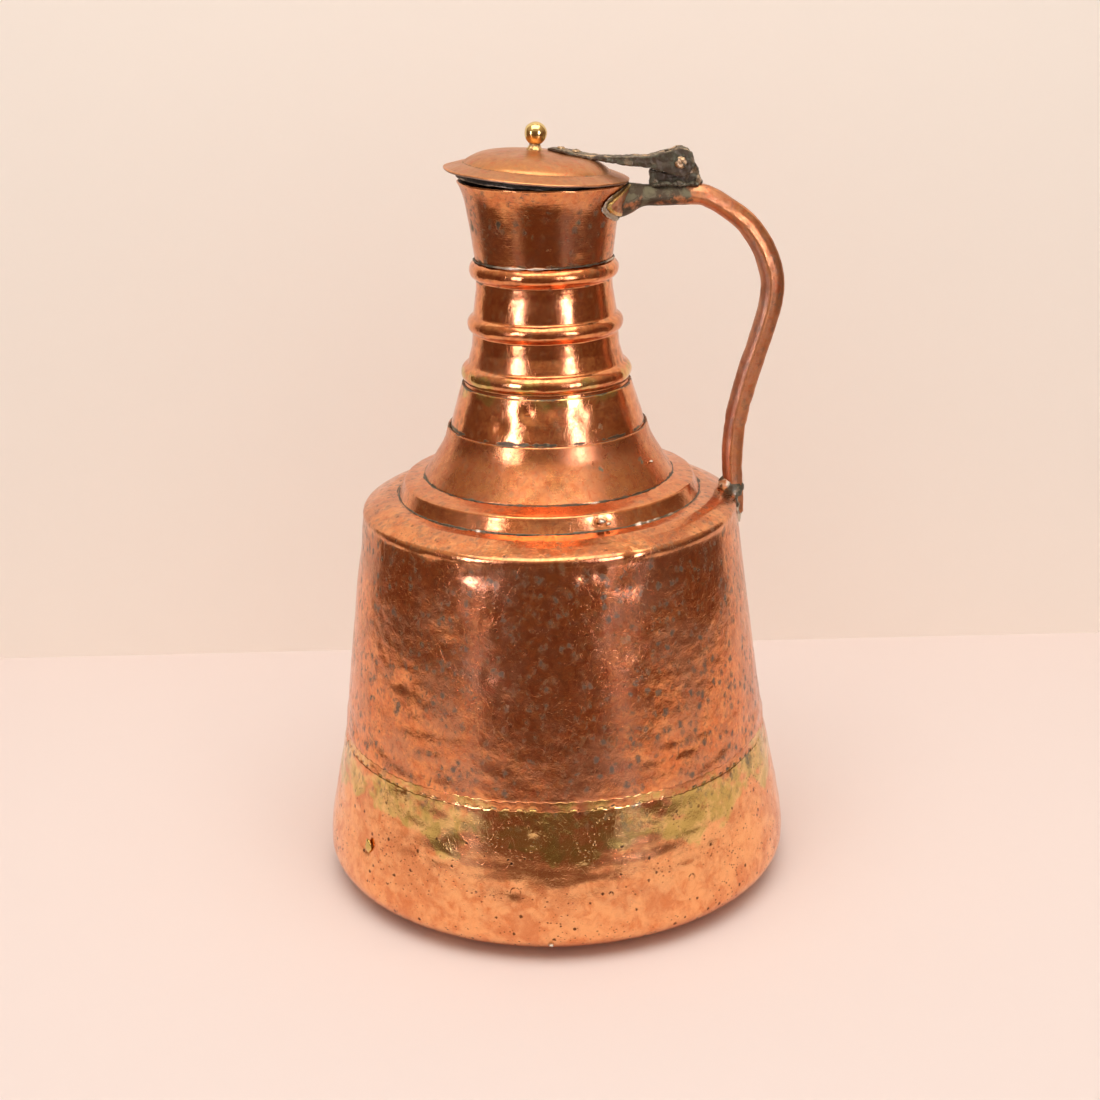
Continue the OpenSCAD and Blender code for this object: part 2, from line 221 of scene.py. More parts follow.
def turned(path, columns):
    """Rows of points round Z, a row for each (radius, height) of path."""
    angle = np.tile(np.linspace(0, 2 * math.pi, columns, endpoint=False), len(path))
    radius, z = np.repeat(path, columns, axis=0).T
    return np.stack([radius * np.cos(angle), radius * np.sin(angle), z], axis=1)


def revolved_sheet(path, thickness, segments, shape, skip=3, centre=False, edge=0.3):
    """A sheet whose outer face is path turned round Z, or a closed disc where it begins near the
    centre. shape(points) says how far each point of the metal is pushed outwards, skip how much
    coarser the inner face is, and edge how far its edges are rounded. Returns points, faces, the
    undented outer place of each point and the mask of the inner face."""
    def run(i):
        d = path[min(i + 1, last)] - path[max(i - 1, 0)]
        return d / np.linalg.norm(d)

    last, n, mid = len(path) - 1, outward(path), 0.5 * thickness
    rows = [(path[i], path[i], n[i], 0) for i in range(last + 1)]
    rows.append((path[last] - n[last] * mid + run(last) * edge, path[last], n[last], 0.5))
    rows += [(path[i] - n[i] * thickness, path[i], n[i], 1) for i in (*range(last, 0, -skip), 0)]
    if not centre:
        rows.append((path[0] - n[0] * mid - run(0) * edge, path[0], n[0], 0.5))
    place, outer, normal = (np.array([row[k] for row in rows]) for k in range(3))
    inside = np.repeat([row[3] for row in rows], segments)
    undented = turned(outer, segments)
    points = turned(place, segments) + turned(normal, segments) * shape(undented)[:, None]
    if not centre:
        return points, grid_faces(len(rows), segments, closed_rows=True), undented, inside
    points, faces = capped(points, segments)
    return points, faces, np.vstack([undented, points[[-2, -2]]]), np.append(inside, [0, 1])


def lumpy_ring(radius, z, size, segments, seed, rough, lumps, sides=10):
    """A bead of solder round the jug, in a corner at that radius and height, with lumps of
    (angle, width, height) on it."""
    angle = np.repeat(np.linspace(0, 2 * math.pi, segments, endpoint=False), sides)
    turn = np.tile(np.linspace(0, 2 * math.pi, sides, endpoint=False), segments)

    def ring(r, height):
        return np.stack([r * np.cos(angle), r * np.sin(angle), height], axis=1)

    centre = ring(radius, np.full(len(angle), z))
    swell = 1 + rough * fractal(centre, 9, seed) + 0.5 * rough * wave(centre, 3, seed + 5)
    for at, width, height in lumps:
        swell += height / size * spot(centre, at, radius, z, width)
    r = size * np.clip(swell, 0.35, None)
    points = ring(radius + r * np.cos(turn), z + r * np.sin(turn))
    points += 0.25 * size * np.stack([wave(points, 2.2, seed + k) for k in (21, 22, 23)], axis=1)
    return points, [face[::-1] for face in grid_faces(segments, sides, closed_rows=True)]


def from_cad(node, voxel, amount, size, seed, settle=2, limit=None):
    """The CAD node's own shape with an even skin, roughened along its normals. limit(points, moved)
    gives back the places where the metal is allowed to be. Returns the roughened points, the faces,
    the smooth points and their normals."""
    copy = bpy.data.objects.new(node + "_blank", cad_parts[node].data.copy())
    bpy.context.scene.collection.objects.link(copy)
    remesh = copy.modifiers.new("remesh", "REMESH")
    remesh.mode = "VOXEL"
    remesh.voxel_size = voxel * MM
    soft = copy.modifiers.new("soft", "SMOOTH")
    soft.factor = 0.5
    soft.iterations = settle
    evaluated = copy.evaluated_get(bpy.context.evaluated_depsgraph_get())
    mesh = evaluated.to_mesh()
    points, normals = np.zeros((2, len(mesh.vertices) * 3))
    mesh.vertices.foreach_get("co", points)
    mesh.vertices.foreach_get("normal", normals)
    points, normals = points.reshape(-1, 3) / MM, normals.reshape(-1, 3)
    faces = [tuple(p.vertices) for p in mesh.polygons]
    evaluated.to_mesh_clear()
    bpy.data.objects.remove(copy)
    moved = points + normals * (amount * (fractal(points, size, seed, 3, 0.6) - 0.15))[:, None]
    return (limit(points, moved) if limit else moved), faces, points, normals


# ---------------- materials
class Value:
    """An output in a node tree. Arithmetic on it adds math nodes."""

    def __init__(self, nodes, socket):
        self.nodes, self.socket = nodes, socket

    def __add__(self, other):
        return self.nodes.math("ADD", self, other)

    def __sub__(self, other):
        return self.nodes.math("SUBTRACT", self, other)

    def __rsub__(self, other):
        return self.nodes.math("SUBTRACT", other, self)

    def __mul__(self, other):
        return self.nodes.math("MULTIPLY", self, other)

    def __abs__(self):
        return self.nodes.math("ABSOLUTE", self)

    def clamped(self):
        self.socket.node.use_clamp = True
        return self


class Nodes:
    """Short calls for building the node tree of a material or world."""

    def __init__(self, owner):
        owner.use_nodes = True
        self.tree = owner.node_tree
        self.tree.nodes.clear()
        self.place = self.add("ShaderNodeTexCoord", output="Object")

    def add(self, kind, inputs=None, output=0, **settings):
        """One more node. inputs are keyed by name or number. Returns the named output."""
        node = self.tree.nodes.new(kind)
        for key, value in settings.items():
            setattr(node, key, value)
        for key, value in (inputs or {}).items():
            if isinstance(value, Value):
                self.tree.links.new(value.socket, node.inputs[key])
            else:
                node.inputs[key].default_value = value
        return Value(self, node.outputs[output]) if node.outputs else None

    def attribute(self, name):
        return self.add("ShaderNodeAttribute", output="Fac", attribute_name=name)

    def math(self, operation, *parts):
        return self.add("ShaderNodeMath", dict(enumerate(parts)), operation=operation)

    def most(self, a, b):
        return self.math("MAXIMUM", a, b)

    def scaled(self, scale):
        return self.add("ShaderNodeMapping", {"Vector": self.place, "Scale": scale})

    def noise(self, size, detail=3.0, rough=0.55, stretch=(1, 1, 1), warp=0.0):
        """Noise from 0 to 1 with bumps about size millimetres across."""
        inputs = {"Vector": self.scaled(stretch), "Scale": 1 / (size * MM), "Detail": detail,
                  "Roughness": rough, "Distortion": warp}
        return self.add("ShaderNodeTexNoise", inputs, "Fac")

    def spots(self, size, stretch=(1, 1, 1)):
        """Distance to scattered points about size millimetres apart."""
        inputs = {"Vector": self.scaled(stretch), "Scale": 1 / (size * MM)}
        return self.add("ShaderNodeTexVoronoi", inputs, "Distance")

    def step(self, value, low, high, to_low=0.0, to_high=1.0):
        inputs = {"Value": value, "From Min": low, "From Max": high, "To Min": to_low,
                  "To Max": to_high}
        return self.add("ShaderNodeMapRange", inputs, interpolation_type="SMOOTHSTEP")

    def mix(self, amount, a, b):
        a, b = ((*c, 1) if isinstance(c, tuple) else c for c in (a, b))
        inputs = {"Factor": amount, "A": a, "B": b}
        return self.add("ShaderNodeMix", inputs, "Result", data_type="RGBA")

    def mean(self, *parts):
        """Average of noises, each given with its weight."""
        weights = sum(weight for _, weight in parts)
        first, *rest = (value * (weight / weights) for value, weight in parts)
        return sum(rest, first)

    def scratch(self, size, width):
        """Thin wandering lines, 1 along their middle."""
        return self.step(abs(self.noise(size, 2, 0.6, (1, 1, 0.45), 0.6) - 0.5), width, 0.0)

    def crescent(self, place, radius):
        """The upper part of a small ring round a place given in millimetres."""
        ends = {0: self.place, 1: [c * MM for c in place]}
        away = self.add("ShaderNodeVectorMath", ends, "Value", operation="DISTANCE")
        height = self.add("ShaderNodeSeparateXYZ", {0: self.place}, "Z")
        low, high = (place[2] - 0.6 * radius) * MM, (place[2] + 0.6 * radius) * MM
        line = self.step(abs(away - radius * MM), 0.55 * MM, 0.1 * MM)
        return line * self.step(height, low, high)

    def finish(self, colour, metallic, roughness, height, bump=0.6, depth=1 * MM, sweep=0.0):
        normal = self.add("ShaderNodeBump", {"Strength": bump, "Distance": depth, "Height": height})
        shader = self.add("ShaderNodeBsdfPrincipled", {
            "Base Color": colour, "Metallic": metallic, "Roughness": roughness, "Normal": normal,
            "Anisotropic": sweep, "Specular IOR Level": 0.28,
        })
        self.add("ShaderNodeOutputMaterial", {0: shader})


FRESH_COPPER = (0.98, 0.49, 0.215)
PLAIN_COPPER = (0.93, 0.41, 0.165)
DULL_COPPER = (0.58, 0.26, 0.14)
BODY_TONE = (0.88, 0.36, 0.14), (0.78, 0.245, 0.085)
NECK_TONE = (0.88, 0.37, 0.145), (0.78, 0.26, 0.09)
SKIRT_TONE = (0.76, 0.315, 0.12), (0.68, 0.225, 0.08)
LID_TONE = (0.62, 0.29, 0.115), (0.54, 0.23, 0.085)
HANDLE_TONE = (0.62, 0.27, 0.115), (0.52, 0.19, 0.075)
BRASS = (0.88, 0.58, 0.235)
GREEN_BRASS = (0.60, 0.45, 0.13)
KNOB_BRASS = (0.80, 0.61, 0.245)
VERDIGRIS = (0.19, 0.165, 0.10)
GREY_FILM = (0.12, 0.115, 0.092)
BROWN = (0.13, 0.05, 0.022)
RUST = (0.60, 0.15, 0.055)
SOOT = (0.095, 0.066, 0.042)
TIN = (0.34, 0.32, 0.29)


def copper(name, tone, polish, tarnish, film, pits=0.5, ripple=0.3, brushed=0.0, sweep=0.0,
           fresh=PLAIN_COPPER, streak=1.0, marks=()):
    """Old copper. tone is its two colours and fresh the one where it is worn clean. polish is its
    roughness where it is clean, tarnish how brown it has gone, film how much grey film it carries
    and streak how far the film's smudges run round the jug. pits and ripple are how strong those
    are, brushed how strong the lines round the jug are, and sweep how far they spread a highlight.
    marks are (place, radius) of crescents left by a tool. A mask that a piece lacks reads as 0."""
    material = bpy.data.materials.new(name)
    n = Nodes(material)
    grime, tint, inside, worn = (n.attribute(mask) for mask in ("grime", "tint", "inside", "worn"))
    cloud, mottle = n.noise(38, 4, 0.6, warp=0.6), n.noise(9, 4, 0.65, warp=0.5)
    small, fine = n.noise(4.2, 4, 0.65, warp=0.8), n.noise(1.6, 3, 0.6)
    kept = (1 - worn).clamped()

    # the metal: two reds, worn clean in places, tarnished in others and stained by brass
    colour = n.mix(n.step(n.mean((mottle, 1), (small, 1)), 0.40, 0.60), *tone)
    fresh = n.mix(n.step(n.mean((cloud, 1), (mottle, 0.6)), 0.45, 0.58), fresh, tone[0])
    colour = n.mix(worn * n.step(mottle, 0.85, 0.35), colour, fresh)
    dull = n.step(n.mean((cloud, 1.2), (small, 0.8)), 0.42, 0.58)
    colour = n.mix(dull * (n.step(kept, 0, 1, 0.35, 1.0) * tarnish), colour, DULL_COPPER)
    brassy = n.step(tint + n.mean((mottle, 1), (small, 0.7), (cloud, 0.7)), 0.80, 1.02)
    brass = n.mix(n.step(n.mean((cloud, 1), (mottle, 1)), 0.42, 0.58), BRASS, GREEN_BRASS)
    colour = n.mix(brassy * 0.88, colour, brass)

    # on it: rust, a grey film in smudges and specks, and brown pits
    rust = n.step(n.noise(5.5, 4, 0.7, warp=1.0), 0.50, 0.66) * (kept * 0.6)
    colour = n.mix(rust, colour, RUST)
    smudge = n.noise(4.4, 4, 0.62, stretch=(1, 1, 0.8 * streak), warp=0.5)
    smudge = n.step(smudge, 0.50, 0.74) * n.step(n.noise(26, 4, 0.6), 0.40, 0.62)
    specks = n.step(n.spots(6.2, (1, 1, 0.8)) + small * 1.25, 1.06, 0.72)
    specks = specks * n.step(n.noise(19, 3), 0.38, 0.56, 0.0, 0.85)
    grey = n.most(smudge, specks) * (kept * film)
    colour = n.mix(grey, colour, GREY_FILM)
    dots = n.step(n.spots(3.4, (1, 1, 1.4)) + fine * 0.4, 0.42, 0.33)
    holes = n.step(n.spots(10) + fine * 0.2, 0.23, 0.18)
    pit = n.most(dots * n.step(n.noise(24, 2), 0.45, 0.58), holes)
    pit = pit * n.step(worn, 0, 1, 0.35 * pits, pits)
    for place, radius in marks:
        pit = n.most(pit, n.crescent(place, radius) * n.step(fine, 0.38, 0.55))
    colour = n.mix(pit, colour, BROWN)

    # over all: dirt where grime is high, and old tin inside; on the handle's inner facet the inside
    # colour is painted shade
    dirt = n.step(grime + n.mean((mottle, 1), (fine, 1)), 0.85, 1.18)
    colour = n.mix(dirt, colour, n.mix(n.step(mottle, 0.46, 0.62), SOOT, VERDIGRIS))
    colour = n.mix(inside, colour, n.mix(n.step(cloud, 0.35, 0.7), TIN, BROWN))

    metal = (1 - (dirt * 0.5 + grey * 0.45)).clamped()
    rough = n.step(n.mean((cloud, 1), (mottle, 1)), 0.35, 0.65, polish, polish + 0.12)
    rough = rough - brassy * 0.05 + (dirt + grey * 0.5) * 0.26
    rough = (rough + inside * 0.3).clamped()
    height = n.noise(6.5, 3, 0.5, warp=0.5) * n.step(worn, 0, 1, ripple, 0.5 * ripple)
    height = height + small * (0.35 * ripple) + fine * 0.04 - pit * 0.2
    height = height - n.scratch(9, 0.010) * (0.10 * ripple)
    if brushed:
        height = height + n.noise(22, 4, 0.7, stretch=(1, 1, 24)) * brushed
    n.finish(colour, metal, rough, height, sweep=sweep)
    return material


def crusted(name, clean, crust, green, bare_at=(0.62, 0.98), shine=0.42, polish=0.35):
    """Rough metal under a crust, rubbed bright where worn is 1. shine and polish are the roughness
    of the two."""
    material = bpy.data.materials.new(name)
    n = Nodes(material)
    cloud, mottle, fine = n.noise(8, 3), n.noise(3.2, 4, 0.6), n.noise(1.0, 3)
    bare = n.attribute("worn") + n.mean((cloud, 0.8), (mottle, 1), (fine, 0.5))
    bare = n.step(bare, *bare_at)
    colour = n.mix(n.step(n.mean((cloud, 1), (mottle, 1)), 0.46, 0.58), crust, green)
    colour = n.mix(n.step(mottle, 0.44, 0.34), colour, SOOT)
    colour = n.mix(bare, colour, clean)
    metal = n.step(bare, 0.0, 1.0, 0.45, 1.0)
    rough = n.step(bare, 0.0, 1.0, shine, polish)
    n.finish(colour, metal, rough, mottle + fine * 0.2, bump=0.5)
    return material


def pale(name, colour, one_sided=False, far_glow=0.0):
    """A plain surface of the studio. A one-sided one is clear from behind, and far_glow keeps the
    distance as pale as the middle with painted light, a glow that grows with distance."""
    material = bpy.data.materials.new(name)
    n = Nodes(material)
    colour = (*colour, 1)
    look = n.add("ShaderNodeBsdfDiffuse", {0: colour})
    if far_glow:
        away = n.add("ShaderNodeVectorMath", {0: n.place}, "Value", operation="LENGTH")
        glow = n.add("ShaderNodeEmission", {0: colour, 1: n.step(away, 0.95, 3.0, 0.0, far_glow)})
        look = n.add("ShaderNodeAddShader", {0: look, 1: glow})
    if one_sided:
        behind = n.add("ShaderNodeNewGeometry", output="Backfacing")
        clear = n.add("ShaderNodeBsdfTransparent")
        look = n.add("ShaderNodeMixShader", {0: behind, 1: look, 2: clear})
    n.add("ShaderNodeOutputMaterial", {0: look})
    return material


# ---------------- studio
TABLE_FRONT, TABLE_BACK, TABLE_HALF = -0.55, 0.37, 0.85
WALL_HALF, WALL_HIGH = 0.72, 1.5
CLOTH, PAINT = (0.80, 0.69, 0.65), (0.94, 0.85, 0.78)
OVERHEAD, FRONT_HIGH, WALL_WASH = 2.9, 0.18, 0.9
STRIPS = (("left_strip", -43, 10.0), ("right_strip", 36, 10.5))
STRIP_FAR, STRIP_WIDE, STRIP_FOOT, STRIP_TOP, STRIP_BOTTOM = 1.5, 0.30, 0.30, 1.0, -0.45
SPILL = 0.035
STRIP_COLOUR = (0.97, 0.94, 1.15)
FAR_HALF, FAR_HIGH, FLOOR_GAP, WALL_GAP = 8, 5, 0.0004, 0.001
GLOW, BACKDROP = (0.50, 0.47, 0.44), (1.0, 0.84, 0.72)
ROOM_LOW, ROOM_HIGH = (0.165, 0.087, 0.052), (0.62, 0.47, 0.35)


def flat_panel(name, corners, material):
    mesh = bpy.data.meshes.new(name)
    mesh.from_pydata(corners, [], [(0, 1, 2, 3)])
    mesh.materials.append(material)
    obj = bpy.data.objects.new(name, mesh)
    bpy.context.scene.collection.objects.link(obj)
    return obj


def rectangle(x, y0, y1, z):
    return [(-x, y0, z), (x, y0, z), (x, y1, z), (-x, y1, z)]


def upright(x, y, z0, z1):
    return [(-x, y, z0), (x, y, z0), (x, y, z1), (-x, y, z1)]


def area_light(name, place, target, width, height, strength, colour, seen_by="all"):
    """A lamp whose strength is its brightness, seen by all surfaces or only in their "gloss" or
    "matt" part."""
    data = bpy.data.lights.new(name, "AREA")
    data.shape = "RECTANGLE"
    data.size, data.size_y = width, height
    data.energy = strength * math.pi * width * height
    data.color = colour
    light = bpy.data.objects.new(name, data)
    light.location = place
    aim = Vector(target) - Vector(place)
    light.rotation_mode = "QUATERNION"
    light.rotation_quaternion = aim.to_track_quat("-Z", "Y")
    light.visible_camera = False
    light.visible_diffuse = seen_by != "gloss"
    light.visible_glossy = seen_by != "matt"
    bpy.context.scene.collection.objects.link(light)


def make_world():
    """Pale to the camera, an even glow on rough surfaces, and a dim warm room in reflections."""
    world = bpy.data.worlds.new("studio")
    n = Nodes(world)

    def background(colour):
        colour = (*colour, 1) if isinstance(colour, tuple) else colour
        return n.add("ShaderNodeBackground", {"Color": colour})

    def pick(ray, a, b):
        choice = n.add("ShaderNodeLightPath", output=ray)
        return n.add("ShaderNodeMixShader", {0: choice, 1: a, 2: b})

    direction = n.add("ShaderNodeTexCoord", output="Generated")
    ramp = n.add("ShaderNodeValToRGB", {0: n.add("ShaderNodeSeparateXYZ", {0: direction}, "Z")})
    low, high = ramp.socket.node.color_ramp.elements
    low.position, low.color = 0.1, (*ROOM_LOW, 1)
    high.position, high.color = 0.75, (*ROOM_HIGH, 1)
    lit = pick("Is Diffuse Ray", background(ramp), background(GLOW))
    n.add("ShaderNodeOutputWorld", {0: pick("Is Camera Ray", lit, background(BACKDROP))})
    bpy.context.scene.world = world


def make_studio():
    table = rectangle(TABLE_HALF, TABLE_FRONT, TABLE_BACK, 0)
    flat_panel("floor", table, pale("studio_floor", CLOTH))
    wall = upright(WALL_HALF, TABLE_BACK, 0, WALL_HIGH)
    flat_panel("wall", wall, pale("studio_wall", PAINT, one_sided=True))
    # the far floor and wall, seen only by the camera, are kept pale by painted light: a glow that
    # grows with distance
    far_floor = flat_panel("floor_far", rectangle(FAR_HALF, -FAR_HALF, FAR_HALF, -FLOOR_GAP),
                           pale("studio_floor_far", CLOTH, far_glow=0.6))
    far_wall = flat_panel("wall_far", upright(FAR_HALF, TABLE_BACK + WALL_GAP, 0, FAR_HIGH),
                          pale("studio_wall_far", PAINT, one_sided=True, far_glow=0.5))
    for panel in (far_floor, far_wall):
        panel.visible_glossy = False
        panel.visible_diffuse = False
    area_light("overhead", (0, -0.55, 2.1), (0, 0.1, 0.1), 2.2, 1.5, OVERHEAD, (1.0, 0.96, 0.91))
    area_light("front_high", (0, -1.75, 1.75), (0, 0, 0.35), 2.9, 1.2, FRONT_HIGH,
               (1.0, 0.92, 0.80))
    area_light("wall_wash", (0, -1.1, 2.2), (0, TABLE_BACK, 0.6), 2.6, 1.2, WALL_WASH,
               (1.0, 0.95, 0.90), "matt")
    for name, angle, strength in STRIPS:
        for part, low, high, share in (("", STRIP_FOOT, STRIP_TOP, 1),
                                       ("_spill", STRIP_BOTTOM, STRIP_FOOT, SPILL)):
            middle = 0.5 * (low + high)
            area_light(name + part, on_wall(angle, STRIP_FAR, middle), (0, 0, middle), STRIP_WIDE,
                       high - low, strength * share, STRIP_COLOUR, "gloss")
    make_world()
    bpy.context.scene.view_settings.view_transform = "Standard"


# ---------------- the metal's own unevenness
DENTS = [  # angle round the jug, radius, height, width and depth of dents in the wall
    (-37, 122, 246, 7, 0.7), (-23, 123, 245, 5, 0.9), (-18, 123, 244, 6, 0.7),
    (9, 123, 245, 4, 1.0), (13, 123, 246, 4, 0.8), (22, 123, 236, 8, 0.6),
    (-17, 131, 184, 5, 0.5), (-45, 133, 167, 6, 0.6), (-13, 133, 168, 4, 0.5),
    (20, 129, 203, 14, 0.7), (-32, 129, 201, 16, 0.6), (37, 138, 130, 12, 0.8),
    (-53, 140, 116, 10, 0.8), (-53.5, 152.5, 51, 7, 1.3), (-10, 153, 49, 4, 0.6),
    (30, 148, 72, 9, 0.6), (-27, 146, 82, 9, 0.8), (-6, 146, 81, 5, 0.7),
    (62, 143, 95, 14, 0.9), (120, 132, 180, 18, 1.0), (170, 126, 225, 12, 0.9),
    (-110, 135, 150, 16, 0.8), (-140, 150, 40, 12, 0.9), (150, 150, 60, 14, 0.8),
    (-160, 128, 205, 10, 0.7), (95, 146, 70, 10, 0.7), (-85, 125, 228, 9, 0.7),
]


def hammered(p):
    """Planishing marks, creases and dents of the body, in millimetres outwards."""
    first, second = cells(p * [1, 1, 1.25], 10.5, 3)
    facets = -0.16 * (1 - smooth(first, 0.0, 0.75)) + 0.05 * smooth(second - first, 0, 0.3)
    low = 0.35 + 0.65 * (1 - smooth(p[:, 2], 120, 190))
    ripples = 0.19 * low * (1 - 0.65 * bell(around(p), 28)) * wave(p * [0.55, 0.55, 1.3], 11, 17)
    creased = smooth(wave(p, 60, 31), 0.0, 0.5) * 0.14 * wave(p * [1, 1, 0.8], 5.5, 37)
    swell = 0.22 * wave(p, 27, 41) + 0.60 * wave(p, 85, 43)
    ripples *= 1 + 2.8 * bell(p[:, 2] - 114, 22) * (1 - bell(around(p), 26))
    ripples += 0.26 * bell(p[:, 2] - 64, 17) * wave(p * [0.5, 0.5, 1.4], 9, 53)
    total = facets * (0.6 + 0.4 * smooth(wave(p, 45, 47), -0.4, 0.4)) + ripples + creased + swell
    total += 1.4 * bell(around(p), 36) * (1 - smooth(p[:, 2], 56, 94)) * smooth(p[:, 2], 18, 56)
    for angle, radius, z, width, depth in DENTS:
        total -= depth * spot(p, angle, radius, z, width)
    return total * smooth(p[:, 2], 0.5, 24)


# the seam's dark dashes: how far one and its gap reach, on this radius, and the share left out
DASH_LENGTH, DASH_RADIUS, DASHES_LEFT_OUT = 8.5 / 6.5 * 2 * math.pi, 142, 0.28


def seam_marks(p):
    """1 on the dark dashes of the dovetailed seam."""
    phase = np.radians(around(p)) * DASH_RADIUS / DASH_LENGTH * 2 * math.pi
    number = np.floor(phase / (2 * math.pi)).astype(np.int64)
    kept = hashed(np.stack([number, 0 * number + 5, 0 * number], axis=1), 61) > DASHES_LEFT_OUT
    return smooth(np.sin(phase) + 0.5 * wave(p, 14, 63), 0.0, 0.5) * kept


def seam_line(p):
    """Height of the seam, which wanders a little round the jug."""
    return SEAM_Z + 0.8 * wave(p * [1, 1, 0], 30, 67) + 0.35 * np.sin(np.radians(around(p)) * 105)


def brass_tint(p):
    """Where spelter from the seam has coloured the copper below it."""
    drop = seam_line(p) - p[:, 2]
    reach = 29 + 9 * bell(around(p), 30)
    reach += 12 * wave(p * [1, 1, 0.3], 40, 71) + 7 * wave(p * [1, 1, 0.3], 14, 73)
    patchy = 0.52 + 0.26 * wave(p * [0.6, 0.6, 1.2], 17, 79)
    patchy += 0.22 * wave(p * [0.8, 0.8, 1.3], 7, 81)
    return smooth(drop, -9, 2) * (1 - smooth(drop, reach - 8, reach + 8)) * patchy


# angle round the jug, radius, height and size of crescents left by a tool
CRESCENTS = [(-10, 152.5, 49, 3.4), (12, 152.5, 46, 2.4), (33, 151.5, 44, 3.6)]


def body_masks(p, inside):
    dents = sum(spot(p, a, r, z, w * 0.55) * min(1, d) for a, r, z, w, d in DENTS)
    crack = bell(p[:, 2] - seam_line(p), 0.9) * (0.2 + 0.4 * seam_marks(p))
    # foot makes the pan darker towards the bottom, over its lowest 14 mm
    foot = (1 - smooth(p[:, 2], 1, 14)) * 0.35
    rubbed = 1 - smooth(p[:, 2] + 10 * wave(p, 30, 89), 70, 108)
    return {
        "grime": 0.75 * np.clip(dents, 0, 0.7) + crack + foot * (0.7 + 0.6 * wave(p, 9, 83)),
        "tint": np.clip(brass_tint(p), 0, 1),
        "inside": inside,
        "worn": 0.45 * smooth(p[:, 2], 245, 253) + rubbed,
    }


# ---------------- base pan and body
FLAT_R, BIG_R, BIG_A, SMALL_R, BELLY_R, LEAN, SEAM_Z = 119, 57, 33, 14, 110, 11.3, 100
SHEET = 1.4
small_centre = arc((FLAT_R, BIG_R), BIG_R - SMALL_R, 0, BIG_A, 1)[0]
belly_centre = (small_centre[0] + SMALL_R - BELLY_R, small_centre[1])
pan_corner = [*arc((FLAT_R, BIG_R), BIG_R, 0, BIG_A), *arc(small_centre, SMALL_R, BIG_A, 90),
              *arc(belly_centre, BELLY_R, 90, 90 + LEAN)]
belly_end = pan_corner[-1]
SEAM_R = belly_end[0] - (SEAM_Z - belly_end[1]) * math.tan(math.radians(LEAN))
LAP = 1.53
JOGGLE = (SEAM_R - 0.6, SEAM_Z + 4.5)
SHOULDER_R, SHOULDER_Z = 122.7, 250.5
LIP = [(122.7, 253.3), (122.3, 254.9), (121.2, 256.2), (118.2, 257.9), (113, 260.6), (107, 262.9),
       (93, 264.5)]


def make_pan(material):
    flat = resample([(1.5, 0), (FLAT_R, 0)], 8)
    wall = resample([(FLAT_R, 0), *pan_corner, (SEAM_R, SEAM_Z)], 1.8, soften=1)
    path = np.vstack([flat[:-1], wall])
    points, faces, p, inside = revolved_sheet(path, SHEET, 500, hammered, skip=4, centre=True)
    points[:, 2] += (seam_line(p) - SEAM_Z) * smooth(p[:, 2], SEAM_Z - 4, SEAM_Z)
    masks = body_masks(p, inside)
    make_object("pan", points, faces, masks, "jug", ["base_pan"], material)


def make_body(material):
    tail = [(SEAM_R - LAP + 2, SEAM_Z - 10), (SEAM_R - LAP, SEAM_Z + 0.5)]
    wall = resample([*tail, JOGGLE, (SHOULDER_R, SHOULDER_Z)], 1.7)
    lip = resample([(SHOULDER_R, SHOULDER_Z), *LIP], 0.6, soften=1)
    path = np.vstack([wall[:-1], lip])

    def shape(p):
        shoulder = smooth(p[:, 2], 246, 256)
        uneven = 0.35 * wave(p, 22, 101) + 0.5 * wave(p, 60, 103)
        knocks = 0.5 * spot(p, 33, 120, 255, 7) - 0.8 * spot(p, 24, 121, 255, 5)
        lip_marks = bell(p[:, 2] - 254, 4.5) * (0.22 * wave(p, 9, 107) + knocks)
        return hammered(p) * (1 - shoulder) + shoulder * uneven * 0.5 + lip_marks

    points, faces, p, inside = revolved_sheet(path, SHEET, 440, shape, skip=4)
    masks = body_masks(p, inside)
    ring_foot = bell(from_axis(p) - STEP_R - 1.1, 1.3) * (p[:, 2] > 260)
    masks["grime"] += ring_foot * (0.5 + 0.35 * wave(p, 12, 109))
    masks["grime"] += 0.6 * spot(p, 90, 119, 261, 13) * (p[:, 2] > 240)
    make_object("body", points, faces, masks, "jug", ["body_shell"], material)


def make_seam(material):
    path = resample([(SEAM_R + 0.2, SEAM_Z - 0.9), (SEAM_R + 0.02, SEAM_Z + 0.1),
                     (JOGGLE[0] + 0.05, JOGGLE[1]), (JOGGLE[0] - 0.1, JOGGLE[1] + 0.7)], 0.5)

    def dashes(p, width):
        return seam_marks(p) * bell(p[:, 2] - SEAM_Z - 0.6, width)

    def shape(p):
        return hammered(p) + 0.05 * wave(p, 2.5, 113) - 0.4 * dashes(p, 0.9)

    points, faces, p, inside = revolved_sheet(path, 0.5, 900, shape, skip=20, edge=0.05)
    points[:, 2] += seam_line(p) - SEAM_Z
    dirt = 0.6 * dashes(p, 1.1) * (0.75 + 0.5 * wave(p, 25, 129))
    masks = {
        "grime": 0.10 + dirt + 0.15 * wave(p, 6, 127),
        "tint": np.clip(0.38 + 0.3 * wave(p, 20, 131), 0, 1),
        "inside": inside,
    }
    make_object("seam", points, faces, masks, "jug", ["base_seam_braze"], material)


